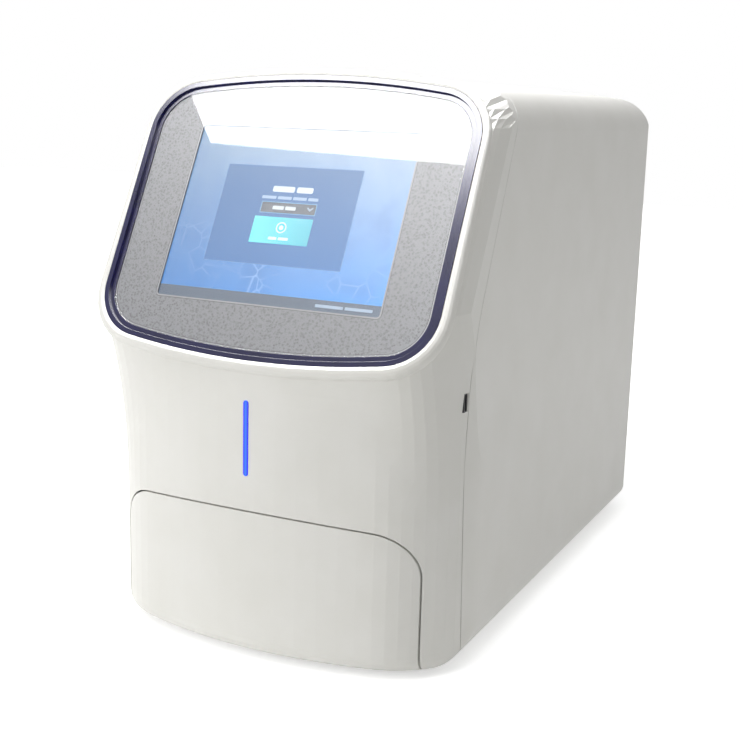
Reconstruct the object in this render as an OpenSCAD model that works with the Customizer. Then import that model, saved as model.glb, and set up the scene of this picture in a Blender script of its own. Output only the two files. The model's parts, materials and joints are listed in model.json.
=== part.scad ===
// Bench imager for gels and blots: a moulded casing round a sheet metal frame, with a tilted
// display, a motorised sample drawer, a dark chamber and a camera that looks straight down.
// X runs to the right seen from the front, -Y is the front and Z is up.

/* [Casing] */
// Overall width of the casing
body_w = 376; // [370:1:400]
// Overall depth of the casing
body_d = 640; // [630:1:680]
// Overall height, feet included
body_h = 541; // [536:1:560]
// Wall of the moulded covers
wall = 3; // [2.5:0.1:3.5]
// Radius of the crowned top
crown_r = 1150; // [900:10:2000]
// Radius of the long edges at the top
top_edge_r = 38; // [25:1:45]
// Radius of the long edges at the bottom
low_edge_r = 28; // [22:1:30]
// Radius where the top turns down to the rear
rear_top_r = 70; // [40:1:76]
// Radius where the rear turns under
rear_low_r = 22; // [12:1:26]
// Radius of the upright rear edges
rear_edge_r = 10; // [6:1:14]
// Height of the rubber feet under the casing
foot_h = 6; // [5:1:8]
// Radius of a rubber foot
foot_r = 14; // [10:1:18]

/* [Front] */
// Plan radius of the bowed front
front_r = 440; // [430:2:500]
// Plan radius of the front corners
corner_r = 92; // [88:1:96]
// Distance from the foremost point back to the lower front
base_back = 3; // [2:0.5:5]
// Radius under the lower front
front_low_r = 16; // [13:1:20]
// Distance from the foremost point back to the side seam
seam_back = 82; // [80:1:86]
// Forward lean of the side seam below the display, in degrees
seam_tip = 1.7; // [0:0.1:3]
// Backward lean of the side seam beside the display, in degrees
seam_lean = 24; // [20:0.5:27]
// Width of the seam between the covers
seam_gap = 0.8; // [0.4:0.1:1.2]

/* [Display] */
// Backward tilt of the display, in degrees
display_tilt = 26.8; // [24:0.2:29]
// Height of the middle of the screen
display_z = 410; // [404:1:414]
// Distance from the foremost point back to the middle of the screen
display_back = 68; // [66:1:72]
// Width of the visible screen
screen_w = 232; // [200:1:240]
// Height of the visible screen
screen_h = 174; // [150:1:180]
// Width of the display ring
ring_w = 348; // [340:1:350]
// Height of the display ring
ring_h = 281; // [276:1:284]
// Corner radius of the display ring
ring_corner_r = 50; // [36:1:60]
// Radius of the arched top and bottom of the display ring
ring_arch_r = 850; // [600:10:1500]
// Width of the band of the display ring
ring_band = 10; // [8:0.5:12]
// Radius of the raised lip round the display ring
lip_r = 5; // [4:0.5:6]
// Thickness of the cover glass
glass_t = 3; // [2:0.5:4]

/* [Light bar] */
// Length of the light bar
bar_l = 70; // [40:1:80]
// Width of the light bar
bar_w = 5; // [4:0.5:8]
// Height of the middle of the light bar
bar_z = 214; // [204:1:220]

/* [Drawer] */
// Width of the drawer front
drawer_w = 317; // [300:1:320]
// Height of the drawer front's top edge, at its middle
drawer_top = 145; // [140:1:150]
// Radius of the arched top edge of the drawer front
drawer_arch_r = 1300; // [900:10:2000]
// Corner radius of the drawer front
drawer_corner_r = 42; // [20:1:44]
// Gap round the drawer front
drawer_gap = 1.6; // [1:0.1:2.5]
// Outer width of the drawer tray
tray_w = 250; // [246:1:252]
// Length of the drawer tray
tray_l = 356; // [350:1:370]
// Height of the drawer tray
tray_h = 58; // [56:1:60]
// Height of the tray's floor over the bench
tray_z = 46; // [46:1:48]
// Sheet of the drawer tray
tray_t = 1.5; // [1:0.25:2]
// Length of a telescopic slide
slide_l = 330; // [320:1:340]

/* [Sample stage] */
// Width of the sample glass
stage_w = 212; // [180:1:214]
// Depth of the sample glass
stage_d = 170; // [150:1:180]
// Radius of the turntable journal
journal_r = 30; // [24:1:34]

/* [Camera] */
// Radius of the lens barrel
lens_r = 30; // [24:1:32]
// Length of the lens barrel
lens_l = 36; // [32:1:40]
// Width of the camera housing
camera_w = 84; // [74:1:90]
// Height of the camera housing
camera_h = 50; // [40:1:52]
// Number of filters in the wheel
filter_count = 5; // [4:1:5]
// Radius of a filter
filter_r = 17; // [14:1:18]

/* [Rear] */
// Width of the rear fan
fan_w = 92; // [80:1:92]
// Depth of the rear fan
fan_d = 25; // [20:1:25]
// Blades on the rear fan
fan_blades = 7; // [5:1:9]

/* [Hidden] */
$fn = 64;
eps = 0.01;
fit = 0.3;
run_fit = 0.05;
slide_fit = 0.4;
sheet = 1.5;
skin_grow = 2;

// Casing levels and planes
half_w = body_w / 2;
front_y = -body_d / 2;
rear_y = body_d / 2;
floor_z = foot_h + wall;
pan_t = 2;
pan_top = floor_z + pan_t;
pan_half = half_w - low_edge_r;
lip_rise = 2.5;
crown_z = body_h - lip_rise - crown_r;
edge_x = half_w - top_edge_r;
edge_z = crown_z + sqrt(pow(crown_r - top_edge_r, 2) - edge_x * edge_x);
seam_y = front_y + seam_back;
base_y = front_y + base_back;

// Plan outline of the front: a bowed front that runs into the corner arcs
corner_x = half_w - corner_r;
corner_back = front_r - sqrt(pow(front_r - corner_r, 2) - corner_x * corner_x);
bow_x = corner_x * front_r / (front_r - corner_r);
corner_y = base_y + corner_back;
flare_low = 195;
flare_high = 285;
flare_out = 4.7;

// Display frame
display_y = front_y + display_back;
tilt_tan = tan(display_tilt);
arch_y = ring_h / 2 - ring_arch_r;
ring_cx = ring_w / 2 - ring_corner_r;
ring_cy = arch_y + sqrt(pow(ring_arch_r - ring_corner_r, 2) - ring_cx * ring_cx);
lip_out = lip_r / 2;
lip_swell = 2;
neck_h = 90;
neck_power = 2.2;
cheek_h = 100;
roll_d = 42;
roll_ratio = 3.2;
seam_knee_z = display_z - 104;
seam_bend = 40;
glass_out = 0.5;
bezel_t = 1.5;
ledge_t = 3.5;
ledge_w = 6;
glass_inset = ring_band + fit;
bezel_n = glass_out - glass_t - bezel_t;
ledge_n = bezel_n - ledge_t;
panel_t = 10;
panel_rim = 14;
board_t = 1.6;

// Drawer
drawer_low_z = foot_h - 5;
drawer_cx = drawer_w / 2 - drawer_corner_r;
drawer_arch_z = drawer_top - drawer_arch_r;
drawer_cz = drawer_arch_z + sqrt(pow(drawer_arch_r - drawer_corner_r, 2) - drawer_cx * drawer_cx);
tray_y = front_y + 27;
tray_rear = tray_y + tray_l;
tray_half = tray_w / 2;
slide_depth = 16;
frame_x = tray_half + slide_depth;
frame_t = 2;
slide_z = tray_z + 30;
slide_half = 20;
slide_t = 1.6;
slide_y = tray_y + 74;
frame_front = slide_y - 2;
frame_rear = rear_y - 24;

// Rack and pinion of the drawer drive
gear_m = 1;
rack_t = 6;
rack_teeth = floor(tray_l / (PI * gear_m)) - 2;
pinion_teeth = 20;
pinion_r = pinion_teeth * gear_m / 2;
pinion_x = 60;
pinion_y = tray_y + 42;
rack_z = tray_z - rack_t;
pinion_z = rack_z - pinion_r;
motor_r = 12;
motor_l = 50;
gear_w = 6;

// Optical axis and the sample stage
axis_y = tray_y + tray_l / 2;
bearing_h = 12;
bearing_z = tray_z + tray_t;
turntable_z = bearing_z + bearing_h + fit;
turntable_t = 3;
box_z = turntable_z + turntable_t;
box_top = tray_z + tray_h - 3;
box_wall = 4;
glass_lip = 6;
sample_t = 3;
diffuser_t = 3;

// Dark chamber and camera
chamber_z = tray_z + tray_h + 4;
chamber_half = tray_half - 3;
chamber_d = 216;
chamber_bend = chamber_z + 190;
shelf_z = display_z - 14;
shelf_t = 2;
chamber_t = 1.2;
neck_half = lens_r + 24;
wheel_z = shelf_z + shelf_t + 5;
wheel_t = 6;
wheel_m = 2;
wheel_pitch = filter_r + lens_r + 3;
wheel_teeth = ceil((wheel_pitch + filter_r + 4) * 2 / wheel_m);
wheel_r = wheel_teeth * wheel_m / 2;
wheel_y = axis_y + wheel_pitch;
filter_gear_teeth = 12;
filter_gear_r = filter_gear_teeth * wheel_m / 2;
filter_gear_y = wheel_y + wheel_r + filter_gear_r;
lens_z = wheel_z + wheel_t + 4;
plate_z = lens_z + lens_l;
plate_t = 3;
camera_z = plate_z + plate_t;
sink_z = camera_z + camera_h;
sink_h = 9;
camera_fan_r = 22;

// Rear panel
panel_w = body_w - 52;
panel_low = floor_z + 24;
panel_high = edge_z - 40;
panel_y = rear_y - wall - sheet;
fan_x = 70;
fan_z = panel_high - fan_w / 2 - 30;
inlet_x = -110;
inlet_z = panel_low + 45;
inlet_w = 27;
inlet_h = 20;
switch_x = inlet_x + 40;
switch_w = 15;
switch_h = 21;
socket_x = 20;
supply_l = 190;

// ---------- Outlines ----------

function bow(x) = front_r - sqrt(front_r * front_r - x * x);
function corner(x) = corner_back - sqrt(max(corner_r * corner_r - pow(x - corner_x, 2), 0));
function plan_back(x) = abs(x) < bow_x ? bow(abs(x)) : corner(min(abs(x), half_w));
function clamp01(t) = min(max(t, 0), 1);
function soft(t) = let (c = clamp01(t)) c * c * (3 - 2 * c);
function ring_low(x) = let (a = ring_w / 2 + lip_out, r = ring_corner_r + lip_out, q = min(abs(x), a))
    q < ring_cx * (ring_arch_r + lip_out) / (ring_arch_r - ring_corner_r)
    ? -arch_y - sqrt(pow(ring_arch_r + lip_out, 2) - q * q)
    : -ring_cy - sqrt(max(r * r - pow(q - ring_cx, 2), 0));
function lip_z(x) = display_z + ring_low(x) * cos(display_tilt);

// How far a point of the hood lies outside the display ring, and inside the casing's section
function beyond_ring(x, v) = v < ring_cy ? x - ring_w / 2
    : (x - ring_cx) * (ring_cy - arch_y) > (v - ring_cy) * ring_cx
    ? norm([x - ring_cx, v - ring_cy]) - ring_corner_r
    : norm([x, v - arch_y]) - ring_arch_r;
function within_section(x, z) = z < edge_z ? half_w - x
    : (x - edge_x) * (edge_z - crown_z) > (z - edge_z) * edge_x
    ? top_edge_r - norm([x - edge_x, z - edge_z])
    : crown_r - norm([x, z - crown_z]);
function roll(x, z) = let (q = min(abs(x), half_w), a = max(beyond_ring(q, (z - display_z) / cos(display_tilt)), 0),
    b = max(within_section(q, z), 0), w = max(a + b, 1))
    a > 0 ? min(roll_d, roll_ratio * w) * (1 - sqrt(1 - pow(a / w, 2))) : 0;
function hood_y(x, z) = let (h = max(z, lip_z(x))) display_y + (h - display_z) * tilt_tan + roll(x, h);
function low_turn(z) = let (h = foot_h + front_low_r - z)
    h > 0 ? front_low_r - sqrt(max(pow(front_low_r, 2) - h * h, 0)) : 0;
function lower_y(x, z) = base_y + plan_back(x) + low_turn(z);
function cheek(x) = soft((abs(x) - ring_cx) / (ring_w / 2 + lip_r - ring_cx));
function neck_mix(x, z) = let (t = clamp01((lip_z(x) - z) / (neck_h + cheek(x) * cheek_h)))
    1 - pow(1 - t, neck_power);
function skin_y(x, z) = let (s = neck_mix(x, z)) (1 - s) * hood_y(x, z) + s * lower_y(x, z);

// Columns and rows of the front skin: closer where the form turns
skin_x = [for (f = [0, 0.05, 0.16, 0.27, 0.38, 0.48, 0.57, 0.65, 0.71, 0.765, 0.815, 0.86, 0.9, 0.935, 0.962, 0.98, 0.993, 1])
    f * half_w];
skin_z = concat([for (a = [0:18:90]) foot_h + front_low_r * (1 - cos(a))],
    [for (f = [0.3:0.175:1]) foot_h + front_low_r + f * (lip_z(0) - neck_h - foot_h - front_low_r)],
    [for (f = [0.125:0.125:1]) lip_z(0) - neck_h * (1 - f)],
    [for (f = [0.1:0.1:1]) lip_z(0) + f * (lip_z(half_w) - lip_z(0))],
    [for (f = [0:0.11:1]) edge_z - 22 + f * (body_h + 2 - edge_z + 22)]);
columns = concat([for (i = [len(skin_x) - 1:-1:1]) -skin_x[i]], skin_x);
column_count = len(columns) + 2;

// One level of the front skin, moved in by a wall, closed far behind the front
function skin_row(z, inset) = let (reach = half_w + skin_grow - inset)
    concat([[-reach, rear_y, z]],
    [for (x = columns)
        [abs(x) > half_w - eps ? sign(x) * reach : x * (half_w - inset) / half_w,
         skin_y(x, max(z, foot_h)) + inset / cos(z > lip_z(x) ? display_tilt : 0), z]],
    [[reach, rear_y, z]]);

module front_skin(inset, low) {
    levels = concat([low], [for (z = skin_z) if (z > low + eps) z]);
    n = column_count;
    rows = len(levels);
    polyhedron(
        points = [for (z = levels) each skin_row(z, inset)],
        faces = concat(
            [[for (i = [0:n - 1]) i]],
            [[for (i = [n - 1:-1:0]) (rows - 1) * n + i]],
            [for (r = [0:rows - 2]) for (i = [0:n - 1]) let (j = (i + 1) % n) each [
                [r * n + i, (r + 1) * n + i, (r + 1) * n + j],
                [r * n + i, (r + 1) * n + j, r * n + j]]]));
}

// Section across the casing, moved in by a wall
module section_shape(inset) {
    w = half_w - inset;
    r = top_edge_r - inset;
    q = low_edge_r - inset;
    reach = edge_x * crown_r / (crown_r - top_edge_r);
    low = foot_h + inset;
    for (s = [-1, 1]) {
        translate([s * edge_x, edge_z]) circle(r = r);
        translate([s * (half_w - low_edge_r), foot_h + low_edge_r]) circle(r = q);
    }
    translate([-w, foot_h + low_edge_r]) square([2 * w, edge_z - foot_h - low_edge_r]);
    translate([-half_w + low_edge_r, low]) square([2 * (half_w - low_edge_r), edge_z - low]);
    intersection() {
        translate([0, crown_z]) circle(r = crown_r - inset, $fn = 180);
        polygon([[0, crown_z], [-reach * 1.1, crown_z + 1.1 * (edge_z - crown_z) * crown_r / (crown_r - top_edge_r)],
            [reach * 1.1, crown_z + 1.1 * (edge_z - crown_z) * crown_r / (crown_r - top_edge_r)]]);
        translate([-half_w, edge_z]) square([body_w, body_h]);
    }
}

module section(inset) {
    translate([0, rear_y + 50, 0]) rotate([90, 0, 0])
        linear_extrude(body_d + 100) section_shape(inset);
}

// Side view of the rear, moved in by a wall
module rear_profile(inset) {
    tip = body_h - lip_rise - rear_top_r;
    foot = foot_h + rear_low_r;
    rotate([90, 0, 90]) translate([0, 0, -half_w - 5]) linear_extrude(body_w + 10) {
        translate([rear_y - rear_top_r, tip]) circle(r = rear_top_r - inset);
        translate([rear_y - rear_low_r, foot]) circle(r = rear_low_r - inset);
        translate([front_y - 10, 0]) square([body_d + 10 - max(rear_top_r, rear_low_r), body_h + 10]);
        translate([0, foot]) square([rear_y - inset, tip - foot]);
        translate([0, 0]) square([rear_y - rear_low_r, tip]);
    }
}

// Plan of the casing behind the seam, moved in by a wall
module plan(inset) {
    w = half_w - inset;
    linear_extrude(body_h + 20) {
        for (s = [-1, 1]) {
            translate([s * corner_x, corner_y]) circle(r = corner_r - inset);
            translate([s * (half_w - rear_edge_r), rear_y - rear_edge_r]) circle(r = rear_edge_r - inset);
        }
        translate([-w, corner_y]) square([2 * w, rear_y - rear_edge_r - corner_y]);
        translate([-half_w + rear_edge_r, corner_y])
            square([body_w - 2 * rear_edge_r, rear_y - inset - corner_y]);
        translate([-corner_x, front_y - 20]) square([2 * corner_x, corner_y - front_y + 20]);
    }
}

// Fuller corners of the main cover, where the front cover swells towards the display
module corner_flare() {
    for (s = [-1, 1]) translate([s * corner_x, corner_y, flare_low]) {
        cylinder(h = flare_high - flare_low, r1 = corner_r, r2 = corner_r + flare_out);
        translate([0, 0, flare_high - flare_low]) cylinder(h = body_h, r = corner_r + flare_out);
    }
}

// Depth of the side seam at a height, and everything in front of it, moved forward by a gap
function seam_at(z) = let (t = clamp01((z - seam_knee_z + seam_bend) / 2 / seam_bend))
    seam_y - min(z, seam_knee_z) * tan(seam_tip)
    + (t < 1 ? seam_bend * t * t : z - seam_knee_z) * tan(seam_lean);
module before_seam(gap) {
    top = body_h + 20;
    heights = concat([-5], [for (t = [0:0.125:1]) seam_knee_z + seam_bend * (2 * t - 1)], [top]);
    rotate([90, 0, 90]) translate([0, 0, -half_w - 10]) linear_extrude(body_w + 20)
        polygon(concat([for (z = heights) [seam_at(z) - gap, z]], [[front_y - 20, top], [front_y - 20, -5]]));
}

// Moves a shape to the display: X across, Y up its face, Z out of it
module on_display() {
    translate([0, display_y, display_z]) rotate([90 - display_tilt, 0, 0]) children();
}

// Outline of the display ring, grown by an offset
module ring_shape(grow) {
    r = ring_corner_r + grow;
    w = ring_w / 2 + grow;
    spread = 1.1 * ring_arch_r / (ring_arch_r - ring_corner_r);
    for (m = [0, 1]) mirror([0, m]) {
        for (s = [-1, 1]) translate([s * ring_cx, ring_cy]) circle(r = r);
        intersection() {
            translate([0, arch_y]) circle(r = ring_arch_r + grow, $fn = 180);
            polygon([[0, arch_y], [ring_cx * spread, arch_y + (ring_cy - arch_y) * spread],
                [-ring_cx * spread, arch_y + (ring_cy - arch_y) * spread]]);
            translate([-ring_w, 0]) square([2 * ring_w, ring_h]);
        }
    }
    translate([-w, -ring_cy]) square([2 * w, 2 * ring_cy]);
}

// Outline of the drawer front, grown by an offset
module drawer_shape(grow) {
    r = drawer_corner_r + grow;
    w = drawer_w / 2 + grow;
    spread = 1.1 * drawer_arch_r / (drawer_arch_r - drawer_corner_r);
    for (s = [-1, 1]) translate([s * drawer_cx, drawer_cz]) circle(r = r);
    intersection() {
        translate([0, drawer_arch_z]) circle(r = drawer_arch_r + grow, $fn = 180);
        polygon([[0, drawer_arch_z], [drawer_cx * spread, drawer_arch_z + (drawer_cz - drawer_arch_z) * spread],
            [-drawer_cx * spread, drawer_arch_z + (drawer_cz - drawer_arch_z) * spread]]);
        translate([-drawer_w, 0]) square([2 * drawer_w, body_h]);
    }
    translate([-w, drawer_low_z]) square([2 * w, drawer_cz - drawer_low_z]);
}

module drawer_prism(grow, depth) {
    translate([0, front_y + depth, 0]) rotate([90, 0, 0])
        linear_extrude(depth + 10) drawer_shape(grow);
}

// Bead that runs round the display: points of the ring outline and their outward normals
function arc_points(cx, cy, r, from, to, steps) =
    [for (i = [0:steps]) let (a = from + (to - from) * i / steps) [cx + r * cos(a), cy + r * sin(a), a]];
corner_turn = atan2(ring_cy - arch_y, ring_cx);
bead_path = let (g = lip_out, r = ring_corner_r + g, quarter = concat(
        arc_points(ring_cx, ring_cy, r, 0, corner_turn, 7),
        [for (i = [1:3]) let (a = corner_turn + (90 - corner_turn) * i / 3)
            [(ring_arch_r + g) * cos(a), arch_y + (ring_arch_r + g) * sin(a), a]]))
    concat(quarter,
        [for (i = [len(quarter) - 2:-1:0]) [-quarter[i][0], quarter[i][1], 180 - quarter[i][2]]],
        [for (i = [0:len(quarter) - 1]) [-quarter[i][0], -quarter[i][1], 180 + quarter[i][2]]],
        [for (i = [len(quarter) - 2:-1:0]) [quarter[i][0], -quarter[i][1], 360 - quarter[i][2]]]);

module lip_bead() {
    sides = 16;
    sink = 1.1;
    side_sink = 0.5;
    n = len(bead_path);
    polyhedron(
        points = [for (p = bead_path) let (r = lip_r + lip_swell * soft((-20 - p[1]) / 100))
            for (k = [0:sides - 1]) let (b = 360 * k / sides, out = (r - lip_r) / 2 + r * cos(b))
                [p[0] + out * cos(p[2]), p[1] + out * sin(p[2]),
                    r * (sin(b) - 0.5) - sink - side_sink * pow(cos(p[2]), 2)]],
        faces = [for (i = [0:n - 1]) for (k = [0:sides - 1])
            let (j = (i + 1) % n, m = (k + 1) % sides) each [
                [i * sides + k, i * sides + m, j * sides + m],
                [i * sides + k, j * sides + m, j * sides + k]]]);
}

// Straight box given by its lowest and highest corners
module span(low, high) {
    translate(low) cube(high - low);
}

// Repeats a part on the right, or mirrored on the left
module on_side(side) {
    if (side > 0) children();
    else mirror([1, 0, 0]) children();
}

// Cylinder along X, starting at a point
module rod_x(start, length, r) {
    translate(start) rotate([0, 90, 0]) cylinder(h = length, r = r);
}

// Cylinder along Y, starting at a point and running to the rear
module rod_y(start, length, r) {
    translate(start) rotate([-90, 0, 0]) cylinder(h = length, r = r);
}

// Rounded rectangle round the origin
module round_rect(w, h, r) {
    for (x = [-1, 1]) for (y = [-1, 1]) translate([x * (w / 2 - r), y * (h / 2 - r)]) circle(r = r);
    square([w - 2 * r, h], center = true);
    square([w, h - 2 * r], center = true);
}

// Involute gear outline with a tooth at the angle given
function inv(a) = tan(a) * 180 / PI - a;
function tooth_half(r, base, teeth) =
    90 / teeth - 14 / teeth / 2 + inv(20) - (r > base ? inv(acos(base / r)) : 0);
module gear_shape(teeth, m, at) {
    pitch = teeth * m / 2;
    base = pitch * cos(20);
    radii = [pitch - 1.2 * m, max(base, pitch - 0.8 * m), pitch, pitch + 0.55 * m, pitch + 0.95 * m];
    polygon([for (k = [0:teeth - 1]) let (c = at + 360 * k / teeth) each concat(
        [for (r = radii) let (a = c - tooth_half(r, base, teeth)) [r * cos(a), r * sin(a)]],
        [for (i = [len(radii) - 1:-1:0]) let (r = radii[i], a = c + tooth_half(r, base, teeth))
            [r * cos(a), r * sin(a)]])]);
}

// ---------- Casing ----------

module front_outer() {
    intersection() {
        front_skin(0, foot_h);
        section(0);
        before_seam(seam_gap / 2);
    }
}

module front_inner() {
    intersection() {
        front_skin(wall, floor_z);
        section(wall);
    }
}

aperture_d = 66;
socket_z = display_z - 153;
socket_y = seam_at(socket_z) - seam_gap / 2 - 1;
socket_w = 6;
socket_h = 17;

module socket_box(grow, from, to) {
    span([from, socket_y - socket_w - grow, socket_z - socket_h / 2 - grow],
        [to, socket_y + grow, socket_z + socket_h / 2 + grow]);
}

module on_bar() {
    translate([0, lower_y(0, bar_z), bar_z]) rotate([90, 0, 0]) children();
}

module bar_shape(grow) {
    r = bar_w / 2 + grow;
    for (s = [-1, 1]) translate([0, s * (bar_l / 2 - bar_w / 2)]) circle(r = r);
    square([2 * r, bar_l - bar_w], center = true);
}

module front_cover() {
    color("#d9d9d4") {
        difference() {
            union() {
                difference() {
                    front_outer();
                    difference() {
                        front_inner();
                        drawer_prism(drawer_gap + 2.5, 34);
                    }
                }
                on_display() lip_bead();
                lap();
            }
            on_display() translate([0, 0, -9]) linear_extrude(30) ring_shape(0);
            drawer_prism(drawer_gap, aperture_d);
            on_bar() translate([0, 0, -8]) linear_extrude(20) bar_shape(fit / 2);
            socket_box(fit / 2, half_w - 30, half_w + 5);
        }
    }
}

// Tongue of the front cover that laps behind the main cover
lap_t = 1.5;
lap_in = 5;
module lap() {
    difference() {
        intersection() {
            section(wall);
            plan(wall);
            before_seam(-lap_in);
            span([-half_w, front_y, floor_z + low_edge_r], [half_w, rear_y, body_h]);
        }
        section(wall + lap_t);
        before_seam(lap_in);
        intersection() {
            section(wall + lap_t);
            plan(wall + lap_t);
        }
        span([-half_w, front_y - 5, 0], [half_w, corner_y - 30, drawer_top + 20]);
    }
}

module main_cover() {
    color("#d6d6d1") difference() {
        intersection() {
            section(0);
            rear_profile(0);
            union() {
                plan(0);
                corner_flare();
            }
        }
        intersection() {
            section(wall);
            rear_profile(wall);
            plan(wall);
        }
        before_seam(-seam_gap / 2);
        span([-pan_half + 8, front_y, 0], [pan_half - 8, rear_y - wall - 8, floor_z + 2]);
        span([-panel_w / 2 + 10, rear_y - wall - 2, panel_low + 10], [panel_w / 2 - 10, rear_y + 5, panel_high - 10]);
    }
}

foot_x = pan_half - foot_r - 20;
foot_front_y = seam_y + 16;
foot_rear_y = rear_y - 50;
motor_x = pinion_x + gear_w / 2 + 4;

module each_foot() {
    for (x = [-foot_x, foot_x]) for (y = [foot_front_y, foot_rear_y]) translate([x, y, 0]) children();
}

module base_pan() {
    pan_front = front_y + 56;
    color("#8f9294") difference() {
        union() {
            span([-pan_half + fit, pan_front, floor_z], [pan_half - fit, rear_y - rear_low_r, pan_top]);
            for (x = [-30, 30]) span([x - 5, pan_front + 70, pan_top], [x + 5, 80, pan_top + 5]);
            span([motor_x + 8, pinion_y - motor_r - 4, pan_top], [motor_x + motor_l - 8, pinion_y + motor_r + 4, pinion_z - 5]);
        }
        rod_x([motor_x, pinion_y, pinion_z], motor_l, motor_r);
        each_foot() cylinder(h = pan_top + 5, r = 2.5);
    }
}

module rubber_feet() {
    color("#26282a") each_foot() difference() {
        union() {
            cylinder(h = 2, r1 = foot_r - 2, r2 = foot_r);
            translate([0, 0, 2]) cylinder(h = floor_z - 2, r = foot_r);
        }
        translate([0, 0, -1]) cylinder(h = floor_z - 3, r = 6);
        cylinder(h = floor_z + 1, r = 2.5);
    }
}

module foot_screws() {
    color("#b8babc") each_foot() {
        translate([0, 0, floor_z - 6]) cylinder(h = 2, r = 4);
        translate([0, 0, floor_z - 4]) cylinder(h = 10, r = 2.4);
        translate([0, 0, pan_top]) cylinder(h = 3, r = 4, $fn = 6);
    }
}

frame_top = edge_z + 8;
frame_gap = 34;
module side_frame(side) {
    slant_z = display_z + (frame_front - frame_gap - display_y) / tilt_tan;
    color("#b4b8ba") on_side(side) {
        difference() {
            translate([frame_x, 0, 0]) rotate([90, 0, 90]) linear_extrude(frame_t) polygon([
                [frame_front, pan_top], [frame_rear, pan_top], [frame_rear, frame_top - 60],
                [frame_rear - 40, frame_top], [display_y + frame_gap + (frame_top - display_z) * tilt_tan, frame_top],
                [frame_front, slant_z]]);
            for (y = [frame_front + 60:70:frame_rear - 50]) for (z = [160:70:frame_top - 110])
                translate([frame_x - 5, y, z]) rotate([0, 90, 0]) cylinder(h = 20, r = 20, $fn = 6);
        }
        span([frame_x, frame_front, pan_top], [frame_x + 14, frame_rear, pan_top + frame_t]);
    }
}
module side_frame_left() { side_frame(-1); }
module side_frame_right() { side_frame(1); }

module camera_shelf() {
    color("#b4b8ba") difference() {
        union() {
            span([-frame_x, axis_y - 95, shelf_z], [frame_x, filter_gear_y + 40, shelf_z + shelf_t]);
            for (s = [0, 1]) mirror([s, 0, 0])
                span([frame_x - shelf_t, axis_y - 95, shelf_z - 10], [frame_x, filter_gear_y + 40, shelf_z]);
        }
        translate([0, axis_y, shelf_z - 1]) cylinder(h = 5, r = filter_r + 8);
        translate([0, filter_gear_y, shelf_z - 1]) cylinder(h = 5, r = 6);
    }
}

// ---------- Display ----------

// Slab on the display, from one depth to another
module slab(from, to) {
    on_display() translate([0, 0, from]) linear_extrude(to - from) children();
}

ring_face = 1;
groove_n = -1.5;
ring_back = ledge_n;
module display_ring() {
    color("#17194a") {
        slab(ring_back, ring_face) difference() {
            ring_shape(-fit / 2);
            ring_shape(-ring_band / 2);
        }
        slab(ring_back, groove_n) difference() {
            ring_shape(-ring_band / 2);
            ring_shape(-ring_band);
        }
        slab(ring_back, bezel_n) difference() {
            ring_shape(-ring_band);
            ring_shape(-ring_band - ledge_w);
        }
    }
}

module display_glass() {
    color("#3a3d42", 0.5) slab(glass_out - glass_t, glass_out) ring_shape(-glass_inset);
}

module display_bezel() {
    color("#5f6063") slab(bezel_n, bezel_n + bezel_t) difference() {
        ring_shape(-glass_inset);
        round_rect(screen_w, screen_h, 3);
    }
}

panel_w2 = screen_w + 2 * panel_rim;
panel_h2 = screen_h + 2 * panel_rim;
panel_n = bezel_n - panel_t;
bracket_n = panel_n - sheet;
board_n = bracket_n - 5;

module screen_panel() {
    color("#1c6fb5") slab(panel_n, bezel_n) square([panel_w2, panel_h2], center = true);
}

module screen_bracket() {
    inner_w = panel_w2 + fit;
    inner_h = panel_h2 + fit;
    color("#a8acae") {
        slab(ledge_n - sheet, ledge_n) difference() {
            ring_shape(-ring_band + 3);
            square([inner_w, inner_h], center = true);
        }
        slab(bracket_n, ledge_n) difference() {
            square([inner_w + 2 * sheet, inner_h + 2 * sheet], center = true);
            square([inner_w, inner_h], center = true);
        }
        slab(bracket_n, panel_n) difference() {
            square([inner_w + 2 * sheet, inner_h + 2 * sheet], center = true);
            for (x = [-1:1]) for (y = [-1, 1]) translate([x * 78, y * 48]) round_rect(52, 52, 8);
        }
        for (x = [-1, 1]) for (y = [-1, 1]) on_display()
            translate([x * 68, y * 15, board_n]) cylinder(h = bracket_n - board_n, r = 3);
    }
}

module screen_board() {
    color("#1f6b46") {
        slab(board_n - board_t, board_n) square([150, 96], center = true);
        slab(board_n - board_t - 3, board_n - board_t) {
            translate([-30, 10]) square([24, 24], center = true);
            translate([22, 18]) square([18, 12], center = true);
            translate([30, -22]) square([40, 8], center = true);
            translate([-40, -28]) square([20, 10], center = true);
        }
    }
}

// ---------- Light bar and side socket ----------

bar_out = 0.4;
bar_flange = 2;
bar_back = -wall - 4;
module light_bar_lens() {
    color("#2038ff") on_bar() {
        translate([0, 0, bar_back]) linear_extrude(bar_out - bar_back) bar_shape(0);
        translate([0, 0, -wall - bar_flange - fit]) linear_extrude(bar_flange) bar_shape(3);
    }
}

module light_bar_board() {
    color("#1f6b46") on_bar() {
        translate([-8, -bar_l / 2 - 8, bar_back - board_t]) cube([16, bar_l + 16, board_t]);
        for (i = [-3:3]) translate([-2.5, i * bar_l / 8 - 2.5, bar_back - board_t - 1.5]) cube([5, 5, 1.5]);
    }
}

module side_socket() {
    color("#2a2c2e") difference() {
        union() {
            socket_box(0, half_w - 24, half_w - 4.5);
            span([half_w - 26, socket_y - socket_w - 4, socket_z - socket_h / 2 - 4],
                [half_w - 24, socket_y + 4, socket_z + socket_h / 2 + 4]);
        }
        socket_box(-1, half_w - 18, half_w);
    }
    color("#e8e8e8") span([half_w - 18 - eps, socket_y - socket_w / 2 - 0.8, socket_z - socket_h / 2 + 2.5],
        [half_w - 8, socket_y - socket_w / 2 + 0.8, socket_z + socket_h / 2 - 2.5]);
}

// ---------- Drawer ----------

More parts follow.
